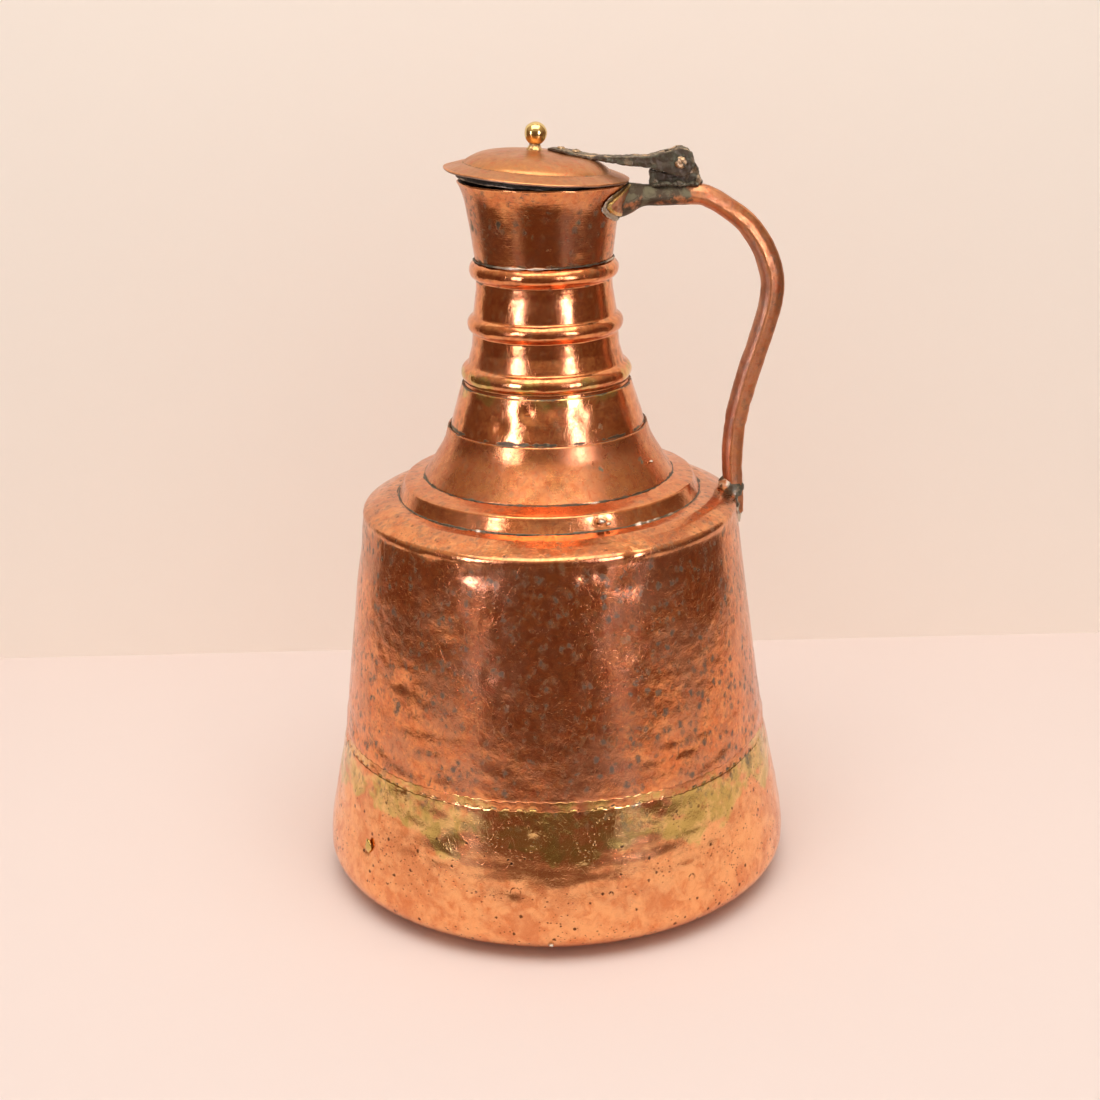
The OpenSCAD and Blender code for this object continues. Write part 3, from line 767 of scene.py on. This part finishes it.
# ---------------- neck, from ring to collar
STEP_R, CREASE_R = 98.5, 94.6
STEP_FOOT_Z = 263.87
CREASE_Z = STEP_FOOT_Z + 9.4
RING_IN = (CREASE_R - 2, CREASE_Z + 0.7)
RING_BORE = 78
RING_END = (RING_BORE, RING_IN[1] + (RING_IN[0] - RING_BORE) * 0.21)
SKIRT_R = 81.2
SKIRT_Z = RING_IN[1] + (RING_IN[0] - SKIRT_R) * 0.21
CONE_TOP = (54.7, SKIRT_Z + 60.4)
BEADS = [  # radius, height and size of the tube's swelled beads
    (48.2, CONE_TOP[1] + 6.8, 6.5),
    (43.4, CONE_TOP[1] + 38.2, 6.2),
    (41.5, CONE_TOP[1] + 72.3, 6.0),
]
COLLAR_FOOT = (43.5, CONE_TOP[1] + 78.6)
RIM_Z, RIM_TILT = 463, 1.3


def neck_masks(p, inside, lines):
    """Dirt along the given lines of (radius, height, width, strength) round the neck."""
    radius = from_axis(p)
    uneven = 0.9 + 0.8 * wave(p, 11, 139) + 0.5 * wave(p, 4, 149)
    thick, wide = np.clip(uneven, 0.25, 1.1), np.clip(uneven, 0.4, 1.5)
    grime = 0.06 * wave(p, 16, 137)
    for r, z, width, strength in lines:
        grime += strength * thick * bell(np.hypot(radius - r, p[:, 2] - z), width * wide)
    return {"grime": grime, "inside": inside}


def patches(p, places, strength, size, seed):
    """Cloudy patches of dirt, each an (angle, radius, height, width)."""
    return sum(strength * spot(p, *place) * (1 + wave(p, size, seed)) for place in places)


def neck_shape(amount, seed):
    """Unevenness of beaten sheet, as a function of the points on it."""
    def shape(p):
        large, small = 1.6 * wave(p, 38, seed + 1), 0.5 * wave(p, 6, seed + 2)
        return amount * (wave(p, 14, seed) + large + small)

    return shape


def make_step(material):
    path = resample([(STEP_R + 0.3, STEP_FOOT_Z - 0.3), (STEP_R, STEP_FOOT_Z),
                     (CREASE_R + 0.4, CREASE_Z - 1.4), (CREASE_R, CREASE_Z), RING_IN, RING_END],
                    0.7, soften=2)
    uneven = neck_shape(0.14, 151)

    def shape(p):
        return uneven(p) - 0.9 * spot(p, 19, 96, 270, 4.5) - 0.4 * spot(p, -30, 96, 268, 8)

    points, faces, p, inside = revolved_sheet(path, SHEET, 340, shape)
    lines = [(STEP_R, STEP_FOOT_Z, 1.0, 0.75), (SKIRT_R, SKIRT_Z, 1.2, 0.75)]
    masks = neck_masks(p, inside, lines)
    masks["grime"] += 0.6 * spot(p, 19, 96, 270, 3)
    make_object("stepped_ring", points, faces, masks, "jug", ["step_ring"], material)


def make_skirt(material):
    z = SKIRT_Z
    knots = [(SKIRT_R, z), (73.2, z + 12.8), (67.6, z + 22.8), (64.6, z + 32.5)]
    path = resample(curve(knots), 1.1)
    points, faces, p, inside = revolved_sheet(path, SHEET, 320, neck_shape(0.13, 157), edge=0.2)
    masks = neck_masks(p, inside, [(SKIRT_R, z, 1.3, 0.75), (64.2, z + 32.8, 1.0, 0.7)])
    stains = ((27, 71, 293, 3.4), (55, 71, 293, 3.6), (34, 71, 281, 5), (-150, 71, 290, 6),
              (-62, 71, 284, 5))
    masks["grime"] += patches(p, stains, 0.55, 2.5, 159)
    make_object("skirt", points, faces, masks, "jug", ["neck_skirt"], material)


def make_cone(material):
    z = SKIRT_Z
    path = resample([(65.9, z + 23), (63, z + 32.5), CONE_TOP], 1.1)
    uneven = neck_shape(0.18, 163)

    def shape(p):
        dents = 0.9 * spot(p, -12, 57, 329, 5) + 0.6 * spot(p, 22, 57, 326, 6)
        dents += 0.5 * spot(p, 3, 57, 331, 4) + 0.5 * spot(p, -30, 59, 320, 6)
        return uneven(p) - dents

    points, faces, p, inside = revolved_sheet(path, SHEET, 260, shape, edge=0.2)
    masks = neck_masks(p, inside, [(62.9, z + 33.6, 1.5, 0.75), (*CONE_TOP, 1.1, 0.7)])
    near_top = smooth(p[:, 2], CONE_TOP[1] - 18, CONE_TOP[1] - 2)
    masks["tint"] = near_top * (0.35 + 0.3 * wave(p, 12, 167))
    masks["grime"] += 0.6 * spot(p, 33, 60, 318, 3.5)
    make_object("cone", points, faces, masks, "jug", ["neck_cone"], material)


def tube_path():
    """The tube's outer face: straight runs between its three swelled beads."""
    z = CONE_TOP[1]
    runs = np.array([(53.6, z - 2), (50, z + 13.5), (47.2, z + 23), (46.4, z + 32.5),
                     (45.6, z + 45), (43.5, z + 59), (43.2, z + 66.5), (42, z + 78),
                     (42.5, z + 84)])
    height = np.arange(z - 2, z + 84, 0.35)
    radius = np.interp(height, runs[:, 1], runs[:, 0])
    for r, at, size in BEADS:
        chord = size**2 - (height - at) ** 2
        radius = np.where(chord > 0, np.maximum(radius, r + np.sqrt(np.maximum(chord, 0))), radius)
    tail = [(57.2, z - 10), (53.9, z - 2.4)]
    return resample([*tail, *np.stack([radius, height], axis=1)], 0.75, soften=1)


def make_tube(material):
    uneven = neck_shape(0.12, 173)

    def shape(p):
        bead = sum(bell(p[:, 2] - at, 6) for _, at, _ in BEADS)
        return uneven(p) + bead * (0.38 * wave(p * [1, 1, 0.5], 13, 179) + 0.16 * wave(p, 5, 181))

    points, faces, p, inside = revolved_sheet(tube_path(), SHEET, 240, shape, skip=4)
    lines = [(55, CONE_TOP[1] + 0.3, 1.0, 0.7)]
    for r, at, size in BEADS:
        lines += [(r - 1.5, at + size + 0.5, 2.0, 0.85), (r + 0.5, at - size, 1.9, 0.75)]
    masks = neck_masks(p, inside, lines)
    masks["tint"] = 0.42 * bell(p[:, 2] - BEADS[0][1], 7) * (1 + wave(p, 14, 191))
    make_object("tube", points, faces, masks, "jug", ["neck_tube"], material)


def make_collar(material):
    r, z = COLLAR_FOOT
    knots = [(r, z), (r + 1.2, z + 9.4), (r + 2.8, z + 22.4), (r + 5.1, z + 35.4),
             (r + 7.5, z + 43.4), (r + 9.6, RIM_Z)]
    path = resample(curve(knots), 0.9)
    shape = neck_shape(0.10, 193)
    points, faces, p, inside = revolved_sheet(path, SHEET, 280, shape, skip=2, edge=0.1)
    up = smooth(p[:, 2], z + 20, RIM_Z)
    jagged = 0.22 * wave(p * [1, 1, 0], 4, 197) + 0.18 * wave(p * [1, 1, 0], 13, 199)
    points[:, 2] += up**8 * jagged - up * p[:, 0] * math.tan(math.radians(RIM_TILT))
    masks = neck_masks(p, inside, [(r, z + 1, 1.8, 0.55)])
    wear = smooth(p[:, 2], RIM_Z - 1.6, RIM_Z - 0.3)
    stains = ((25, 49, 441, 5), (-12, 50, 446, 4.5), (-35, 48, 440, 7), (160, 48, 438, 8),
              (33, 51, 452, 6), (4, 47, 428, 4), (-24, 51, 455, 4), (-70, 48, 436, 6),
              (-130, 49, 444, 7))
    by_handle = spot(p, 66, 50, 450, 9) + spot(p, 114, 50, 450, 9)
    masks["grime"] += 0.8 * by_handle - wear + patches(p, stains, 0.5, 4, 201)
    masks["inside"] = inside * (1 - 0.6 * wear)
    masks["worn"] = wear
    make_object("collar_sheet", points, faces, masks, "jug", ["collar"], material)


def make_solder(material):
    def ring(name, node, radius, z, size, segments, seed, rough, lumps):
        points, faces = lumpy_ring(radius, z, size, segments, seed, rough, lumps)
        worn = sum(spot(points, at, radius, z, 1.3 * width) for at, width, _ in lumps)
        masks = {"worn": np.clip(worn, 0, 1)}
        make_object(name, points, faces, masks, "jug", [node], material)

    lumps = [(34, 2.6, 1.0), (38, 1.6, 0.6), (42, 2.2, 0.9), (50, 2.0, 0.7), (-27, 2, 0.4),
             (140, 3, 0.9), (-120, 3, 0.7)]
    ring("step_bead", "step_solder", STEP_R + 0.1, STEP_FOOT_Z - 0.1, 0.55, 700, 211, 0.8, lumps)
    lumps = [(20, 2, 0.4), (160, 3, 0.5)]
    ring("skirt_bead", "skirt_solder", SKIRT_R, SKIRT_Z, 0.38, 560, 223, 0.8, lumps)
    lumps = [(-30, 6, 0.5), (-5, 7, 0.4), (70, 5, 0.6), (150, 6, 0.7), (-110, 6, 0.5)]
    r, z = COLLAR_FOOT
    ring("collar_bead", "collar_solder", r + 0.6, z + 0.1, 0.5, 420, 227, 0.9, lumps)


# ---------------- handle and its saddle
ARM_Z, ARM_TOP = 452.7, 459.2
ROUTE = [  # x, z, depth and width of the handle, from the collar to its foot
    (42, 450, 23, 36), (48, 450.6, 21, 32), (53, 451.2, 19, 26), (58, 452.2, 15.5, 20),
    (64, ARM_Z, 13, 16.5), (74, ARM_Z, 13, 16), (86, ARM_Z, 13, 16), (98, ARM_Z, 13, 16),
    (106, 449.8, 12.8, 16), (115, 444.2, 12.8, 16), (127, 434.6, 13.6, 16), (137, 421, 14.6, 16.5),
    (142.6, 407, 14.8, 16.5), (144.6, 396, 15, 16.5), (143.4, 383, 14.6, 16),
    (139.8, 368, 14.2, 16),
    (133.6, 349, 14, 16), (126.8, 326, 14, 16), (122.6, 308, 13.8, 15.5), (120.6, 291, 13.4, 15),
    (120.2, 277, 13, 15), (121.2, 264, 11.8, 14.5), (122.6, 254, 10.6, 14), (124.2, 244, 8, 12),
]
# Half of the section: distance out along the depth and half width, as fractions of the two.
HALF_SECTION = [(-0.5, 0), (-0.5, 0.13), (-0.34, 0.39), (-0.12, 0.5), (0.18, 0.41), (0.4, 0.28),
                (0.5, 0.15), (0.5, 0)]


def collar_radius(z):
    r, z0 = COLLAR_FOOT
    return np.interp(z, [z0, z0 + 9.4, z0 + 22.4, z0 + 35.4, z0 + 43.4, z0 + 53],
                     [r, r + 1.2, r + 2.9, r + 5.5, r + 8.2, r + 12])


def wall_radius(z):
    path = np.array([(SEAM_R, SEAM_Z), JOGGLE, (SHOULDER_R, SHOULDER_Z), *LIP])
    return np.interp(z, path[:, 1], path[:, 0])


def pushed_out(points, radius, where):
    """Points moved straight out from the axis to at least that radius, where asked."""
    r = from_axis(points)
    scale = np.where(where & (r < radius), radius / np.maximum(r, 1e-6), 1)
    points[:, 0] *= scale
    points[:, 1] *= scale
    return points


def make_handle(material):
    route = resample(curve(ROUTE, 8), 1.4)
    half = resample(HALF_SECTION, 0.06)
    half[:, 0] = np.clip(half[:, 0], -0.5, 0.5)
    section = np.vstack([half, (half * [1, -1])[-2:0:-1]])
    deep, across = section.T
    heading = np.gradient(route[:, :2], axis=0)
    heading /= np.linalg.norm(heading, axis=1, keepdims=True)
    rows = []
    for (x, z, depth, width), (hx, hz) in zip(route, heading):
        out = deep * depth
        rows.append(np.stack([x - out * hz, across * width, z + out * hx], axis=1))
    points = np.vstack(rows)
    ridge = np.tile(bell(deep + 0.12, 0.07) + 0.6 * (np.abs(deep) > 0.42), len(route))
    centre = np.stack([route[:, 0], 0 * route[:, 0], route[:, 1]], axis=1)
    outwards = points - np.repeat(centre, len(section), axis=0)
    outwards /= np.linalg.norm(outwards, axis=1, keepdims=True)
    uneven = 0.30 * wave(points, 16, 233) + 0.16 * wave(points, 5, 239)
    nicks = -0.55 * ridge * (1 - smooth(cells(points, 13, 241)[0], 0.05, 0.28))
    points += outwards * (uneven + nicks)[:, None]
    flat = (points[:, 0] > 62) & (points[:, 0] < 102)
    points[:, 2] = np.where(flat, np.minimum(points[:, 2], ARM_TOP), points[:, 2])
    points = pushed_out(points, collar_radius(points[:, 2]) + 1.2, points[:, 2] > 430)
    low = points[:, 2] < SHOULDER_Z + 12.4
    points = pushed_out(points, wall_radius(points[:, 2]) - 0.5, low)
    points, faces = capped(points, len(section))
    ridge = np.append(ridge, [0, 0])
    inner = np.append(np.tile(smooth(-deep, 0.1, 0.3), len(route)), [0, 0])
    crust = 1 - smooth(points[:, 0], 88, 100) * smooth(points[:, 2], 300, 440)
    crust = np.where(points[:, 2] > 436, crust, 0)
    foot = 1 - smooth(points[:, 2], 255, 278)
    patchy = 0.74 + 0.3 * wave(points, 9, 251) + 0.2 * wave(points, 3, 252)
    masks = {
        "grime": crust * patchy + 0.35 * foot - 0.5 * ridge * (1 - crust),
        "tint": 0.10 + 0.2 * wave(points, 15, 257),
        # the inner facet, facing the jug, takes the grey-brown inside colour: painted shade
        "inside": 0.42 * inner * (1 - smooth(points[:, 2], 420, 445)),
        "worn": np.clip(ridge, 0, 1),
    }
    make_object("forged_handle", points, faces, masks, "jug", ["handle"], material)


def make_saddle(copper_look, solder_look):
    moved, faces, start, _ = from_cad("handle_saddle", 0.45, 0.25, 5, 263)
    away = from_axis(start) - collar_radius(start[:, 2])
    low, high = (np.array(corner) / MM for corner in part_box("handle_saddle"))
    lens = np.sqrt(np.clip(1 - (np.abs(start[:, 1]) / high[1]) ** 1.7, 0, 1))
    rise = np.abs(2 * start[:, 2] - low[2] - high[2]) / (high[2] - low[2])
    edge = smooth(rise - lens, -0.22, -0.05)
    masks = {
        "grime": 0.30 + 0.25 * (1 - edge) * (1 - smooth(away, 1.2, 2.4)) - 0.5 * edge,
        "tint": 0.9 * edge,
        "worn": edge,
    }
    make_object("saddle_plate", moved, faces, masks, "jug", ["handle_saddle"],
                copper_look)
    moved, faces, start, _ = from_cad("saddle_solder", 0.35, 0.45, 2.6, 269, 1)
    masks = {"worn": 0.35 + 0.5 * smooth(wave(start, 5, 271), -0.3, 0.3)}
    make_object("saddle_bed", moved, faces, masks, "jug", ["saddle_solder"], solder_look)


def make_handle_solder(material):
    """Solder run up the handle's foot and over the shoulder's edge."""
    sides, bottom, top = 64, 238, 276
    z = np.linspace(bottom, top, 50)
    swell = np.sin(math.pi * (0.12 + 0.88 * (z - bottom) / (top - bottom)).clip(0, 1)) ** 0.6
    wide = 1.25 * ((4.9 + 1.5 * bell(z - 262, 7)) * swell + 0.6)
    deep = 1.9 * ((1.5 + 1.7 * bell(z - 263, 5)) * swell + 0.3) * np.where(z > 256, 1.4, 1)
    x = np.interp(z, [bottom, 250, 256, 262, 268, top], [124.6, 122.9, 121.4, 119.6, 119, 119.2])
    x, z, wide, deep = (np.repeat(value, sides) for value in (x, z, wide, deep))
    angle = np.tile(np.linspace(0, 2 * math.pi, sides, endpoint=False), len(z) // sides)
    points = np.stack([x + deep * np.cos(angle), wide * np.sin(angle), z], axis=1)
    bumps = [0.7 * wave(points, 5, 277 + k) + 0.35 * wave(points, 2.2, 281 + k) for k in range(3)]
    points, faces = capped(points + np.stack(bumps, axis=1), sides)
    masks = {"worn": 0.75 * smooth(wave(points, 7, 283), -0.1, 0.5)}
    make_object("handle_solder", points, faces, masks, "jug", [], material)


# ---------------- hinge
PIN_X = 85.7
POST_SIDE, CHEEK_SIDE = 3.5, 3.8


def make_hinge(crust, solder):
    def post_limit(start, moved):
        moved[:, 1] = np.clip(moved[:, 1], -POST_SIDE - 0.08, POST_SIDE + 0.08)
        return moved

    def strap_limit(start, moved):
        away = np.abs(start[:, 1])
        cheek = (start[:, 0] > PIN_X - 12) & (away > CHEEK_SIDE - 0.5) & (away < CHEEK_SIDE + 0.6)
        held = np.maximum(np.abs(moved[:, 1]), CHEEK_SIDE - 0.06) * np.sign(start[:, 1])
        moved[:, 1] = np.where(cheek, held, moved[:, 1])
        return moved

    def piece(name, node, body, moved, faces, worn):
        make_object(name, moved, faces, {"worn": worn}, body, [node], crust)

    moved, faces, start, _ = from_cad("hinge_post", 0.45, 0.7, 5, 293, 2, post_limit)
    worn = 0.3 * smooth(wave(start, 6, 307), 0.1, 0.5)
    piece("hinge_plate", "hinge_post", "jug", moved, faces, worn)
    moved, faces, start, _ = from_cad("hinge_pin", 0.3, 0.35, 1.8, 311, 1)
    worn = smooth(np.abs(start[:, 1]), 7.6, 9.4) * smooth(wave(start, 3, 313), -0.3, 0.2)
    piece("pin", "hinge_pin", "jug", moved, faces, worn)
    moved, faces, start, normals = from_cad("lid_strap", 0.5, 0.55, 6, 317, 2, strap_limit)
    edge = 0.5 + 0.5 * smooth(wave(start * [0.3, 1, 1], 3, 327), 0, 0.4)
    edge *= smooth(normals[:, 2], 0.1, 0.7)
    worn = np.clip(0.30 * edge + 0.2 * smooth(wave(start, 7, 331), 0.1, 0.5), 0, 1)
    piece("strap", "lid_strap", "lid", moved, faces, worn)
    moved, faces, start, _ = from_cad("strap_rivets", 0.3, 0.35, 1.8, 337, 1)
    piece("rivets", "strap_rivets", "lid", moved, faces, 0.4 + 0.4 * wave(start, 4, 347))
    places = []
    for side in (-1, 1):
        for x in np.arange(69.5, 98, 2.6):
            shift = hashed(np.array([[int(x * 10), side + 3, 7]]), 349)[0]
            centre = (x, side * (4.2 + 1.2 * shift), ARM_TOP - 0.2 + 1.1 * shift)
            places.append((centre, 1.6 + 1.4 * shift))
    make_lumps("post_solder", places, 353, solder, 0.05)


def blob(centre, size, seed, rows=12, columns=20, flat=0.62):
    """A closed, uneven lump of metal, a little flattened. Returns points and faces."""
    a = np.linspace(0, math.pi, rows + 1)[1:-1]
    side = turned(np.stack([np.sin(a), -flat * np.cos(a)], axis=1), columns)
    points = np.vstack([side, (0, 0, -flat), (0, 0, flat)]) * size
    points = points * (1 + 0.28 * wave(points + centre, 3.2, seed))[:, None] + centre
    return capped(points[:-2], columns, points[-2:])


def make_lumps(name, places, seed, material, worn):
    """Lumps of solder, each at a place with its size, as one piece."""
    points, faces = np.zeros((0, 3)), []
    for k, (centre, size) in enumerate(places):
        lump, lump_faces = blob(centre, size, seed + 4 * k)
        faces += [tuple(v + len(points) for v in face) for face in lump_faces]
        points = np.vstack([points, lump])
    masks = {"worn": worn + 0.3 * wave(points, 5, seed + 1)}
    make_object(name, points, faces, masks, "jug", [], material)


def make_repairs(solder, brass):
    """A brass plug in the pan, and drips of solder."""
    def pan_radius(z):
        radius, height = np.transpose(pan_corner)
        return np.interp(z, height, radius)

    drips = [(-2, pan_radius(14) - 0.2, 14, 2.2), (19, 96.6, 269.5, 2.6), (21.5, 97.2, 267.5, 1.6),
             (62, 73.5, 290, 1.3)]
    places = [(on_wall(angle, r, z), size) for angle, r, z, size in drips]
    make_lumps("solder_drips", places, 463, solder, 0.45)
    angle, z = -53.5, 51
    across, out = on_wall(angle + 90, 1, 0), on_wall(angle, 1, 0)
    points, faces = blob((0, 0, 0), 4.8, 487)
    points = points @ np.array([0.66 * across + [0, 0, 0.2], [0, 0, 1], 0.5 * out])
    points += on_wall(angle, pan_radius(z) - 1.6, z)
    full = np.ones(len(points))
    # the grime on the side of the plug turned away from the front is painted shade on that side of
    # the bump
    masks = {"worn": full, "tint": full, "grime": 0.5 * smooth(points @ -across, 0, 3)}
    make_object("brass_plug", points, faces, masks, "jug", [], brass)


# ---------------- lid
LID_PLACE, LID_TILT = (-3.4, 0, 467.1), 5
LID_R, LID_SKIRT_R, LID_T, CROWN = 58, 50, 1.3, 15
KNOB_X, KNOB_R = -2, 7


def set_on_jug(points):
    """From the lid's own level frame to where it rests."""
    turn = np.array(Matrix.Rotation(math.radians(LID_TILT), 3, "Y"))
    return points @ turn.T + np.array(LID_PLACE)


def dome_path():
    crown_r, haunch_r, a0, a1 = 173, 35, 10, 38
    crown_c = (0, CROWN - crown_r)
    haunch_c = arc(crown_c, crown_r - haunch_r, 180, 180 - a0, 1)[0]
    haunch = arc(haunch_c, haunch_r, 180 - a1, 180 - a0)
    crown = arc(crown_c, crown_r, 180 - a0, 180 - 0.4)
    start = arc(haunch_c, haunch_r, 180, 180 - a1, 1)[0]
    flange = [(LID_R, LID_T), (start[0] + 0.9, start[1] - 0.55), start]
    return np.vstack([flange, haunch, crown])


def make_lid(outside, under):
    path = dome_path()
    fold = path[2][0] + 0.6

    def shape(p):
        r = from_axis(p)
        dish = 0.22 * wave(p, 26, 397) + 0.10 * wave(p, 9, 401)
        return dish + 0.3 * smooth(r, 44, 58) * wave(p, 18, 409) - 0.45 * bell(r - fold, 1.0)

    path = resample(path, 0.9, soften=1)
    points, faces, p, inside = revolved_sheet(path, LID_T, 300, shape, skip=2, edge=0.15)
    radius = from_axis(p)
    points[:, :2] *= (1 + 0.004 * wave(p * [1, 1, 0], 22, 419) * smooth(radius, 40, 58))[:, None]
    x, y, _ = set_on_jug(p).T
    strap_dirt = bell(np.abs(y), 11) * smooth(x, 1, 8) * (1 - smooth(x, 30, 40))
    knob_dirt = bell(from_axis(p - [KNOB_X, 0, 0]), 6.5)
    masks = {
        "grime": 0.5 * bell(radius - fold, 1.1) + 0.40 * strap_dirt + 0.6 * knob_dirt,
        "inside": inside,
        "worn": 0.8 * smooth(radius, 56.3, 57.8),
    }
    make_object("lid_sheet", set_on_jug(points), faces, masks, "lid", ["lid_dome"],
                outside)

    skirt_foot, skirt_top = -3.7, 0.9
    skirt = resample([(LID_SKIRT_R, skirt_foot), (LID_SKIRT_R, skirt_top)], 0.45)

    def skirt_shape(p):
        return 0.25 * wave(p, 17, 421) + 0.12 * wave(p, 4, 431)

    points, faces, p, inside = revolved_sheet(skirt, LID_T, 300, skirt_shape, edge=0.15)
    lower = 1 - smooth(p[:, 2], skirt_foot, -1.5)
    points[:, 2] += lower * (0.5 * wave(p * [1, 1, 0], 12, 433) + 0.3 * wave(p * [1, 1, 0], 4, 439))
    masks = {
        "grime": 0.35 + 0.35 * wave(p, 7, 443),
        "inside": np.full(len(p), 0.9),
        "worn": 0.75 * lower * (1 + 0.5 * wave(p, 6, 447)),
    }
    # the lip takes the near-black under material: painted shade of the gap under the lid
    make_object("lid_lip", set_on_jug(points), faces, masks, "lid", ["lid_skirt"],
                under)


def make_knob(material):
    ball_z = CROWN + 9.8
    stem = [(2.0, CROWN - 4), (2.0, CROWN - 0.9), (5.6, CROWN - 0.7), (5.0, CROWN + 0.5),
            (4.0, CROWN + 1.7), (3.5, ball_z - 6.5), (4.4, ball_z - 5.7)]
    angles = np.radians(np.linspace(44, 177, 30))
    ball = [(KNOB_R * math.sin(a), ball_z - KNOB_R * math.cos(a)) for a in angles]
    sides = 64
    points = turned(resample([*stem, *ball], 0.45), sides)
    on_stem = 1 - smooth(points[:, 2], ball_z - 7, ball_z - 5)
    push = on_stem * (0.5 * wave(points, 4, 449) + 0.25 * wave(points, 1.8, 457))
    push = push * smooth(points[:, 2], CROWN - 1, CROWN) + 0.22 * wave(points, 5, 461)
    outwards = points * [1, 1, 0]
    outwards /= np.maximum(np.linalg.norm(outwards, axis=1, keepdims=True), 1e-6)
    points += outwards * push[:, None]
    points, faces = capped(points, sides)
    points[-1, 2] += 0.01
    on_stem = np.append(on_stem, [1, 0])
    masks = {
        "grime": 0.32 * on_stem + 0.3 * bell(points[:, 2] - ball_z + 6, 1.5),
        "inside": 0.2 * on_stem,
        "worn": 1 - on_stem,
    }
    points = set_on_jug(points + [KNOB_X, 0, 0])
    make_object("ball_knob", points, faces, masks, "lid", ["knob"], material)


# ---------------- the scene
def main():
    make_camera()
    make_studio()
    marks = [(on_wall(angle, radius, z), size) for angle, radius, z, size in CRESCENTS]
    body = copper("body_copper_old", BODY_TONE, 0.14, 0.8, 1.0, pits=0.95, fresh=FRESH_COPPER,
                  marks=marks)
    neck = copper("neck_copper_polished", NECK_TONE, 0.12, 0.45, 0.35, pits=0.25, ripple=0.16,
                  brushed=0.06)
    satin = copper("skirt_copper_satin", SKIRT_TONE, 0.22, 0.4, 0.3, pits=0.25, ripple=0.12,
                   brushed=0.05)
    collar = copper("collar_copper_brushed", SKIRT_TONE, 0.14, 0.75, 0.9, pits=0.3, ripple=0.14,
                    brushed=0.08, sweep=0.5, streak=2.4)
    lid = copper("lid_copper_satin", LID_TONE, 0.30, 0.35, 0.25, pits=0.3, ripple=0.14,
                 brushed=0.06)
    grip = copper("handle_copper_rubbed", HANDLE_TONE, 0.33, 0.8, 0.6, ripple=0.5)
    braze = copper("braze_brass", BODY_TONE, 0.20, 0.6, 0.3, pits=0.4)
    knob = copper("knob_brass_polished", (KNOB_BRASS, BRASS), 0.14, 0.1, 0.1, pits=0.2, ripple=0.1,
                  fresh=KNOB_BRASS)
    crust = crusted("hinge_metal_crusted", (0.55, 0.38, 0.22), (0.095, 0.07, 0.048),
                    (0.125, 0.12, 0.08))
    solder = crusted("solder_grey", (0.60, 0.53, 0.42), (0.10, 0.08, 0.055), (0.14, 0.13, 0.09))
    # the lid's lip shows only in the gap under the lid; its near-black crust colours are painted
    # shade of that gap, with bare metal on its worn lower edge
    under = crusted("lid_lip_painted_shade", (0.42, 0.35, 0.27), (0.030, 0.024, 0.018),
                    (0.05, 0.045, 0.035), bare_at=(0.95, 1.4), shine=0.6)
    make_pan(body)
    make_body(body)
    make_seam(braze)
    make_step(neck)
    make_skirt(satin)
    make_cone(neck)
    make_tube(neck)
    make_collar(collar)
    make_solder(solder)
    make_handle(grip)
    make_saddle(grip, solder)
    make_handle_solder(solder)
    make_hinge(crust, solder)
    make_repairs(solder, knob)
    make_lid(lid, under)
    make_knob(knob)


main()
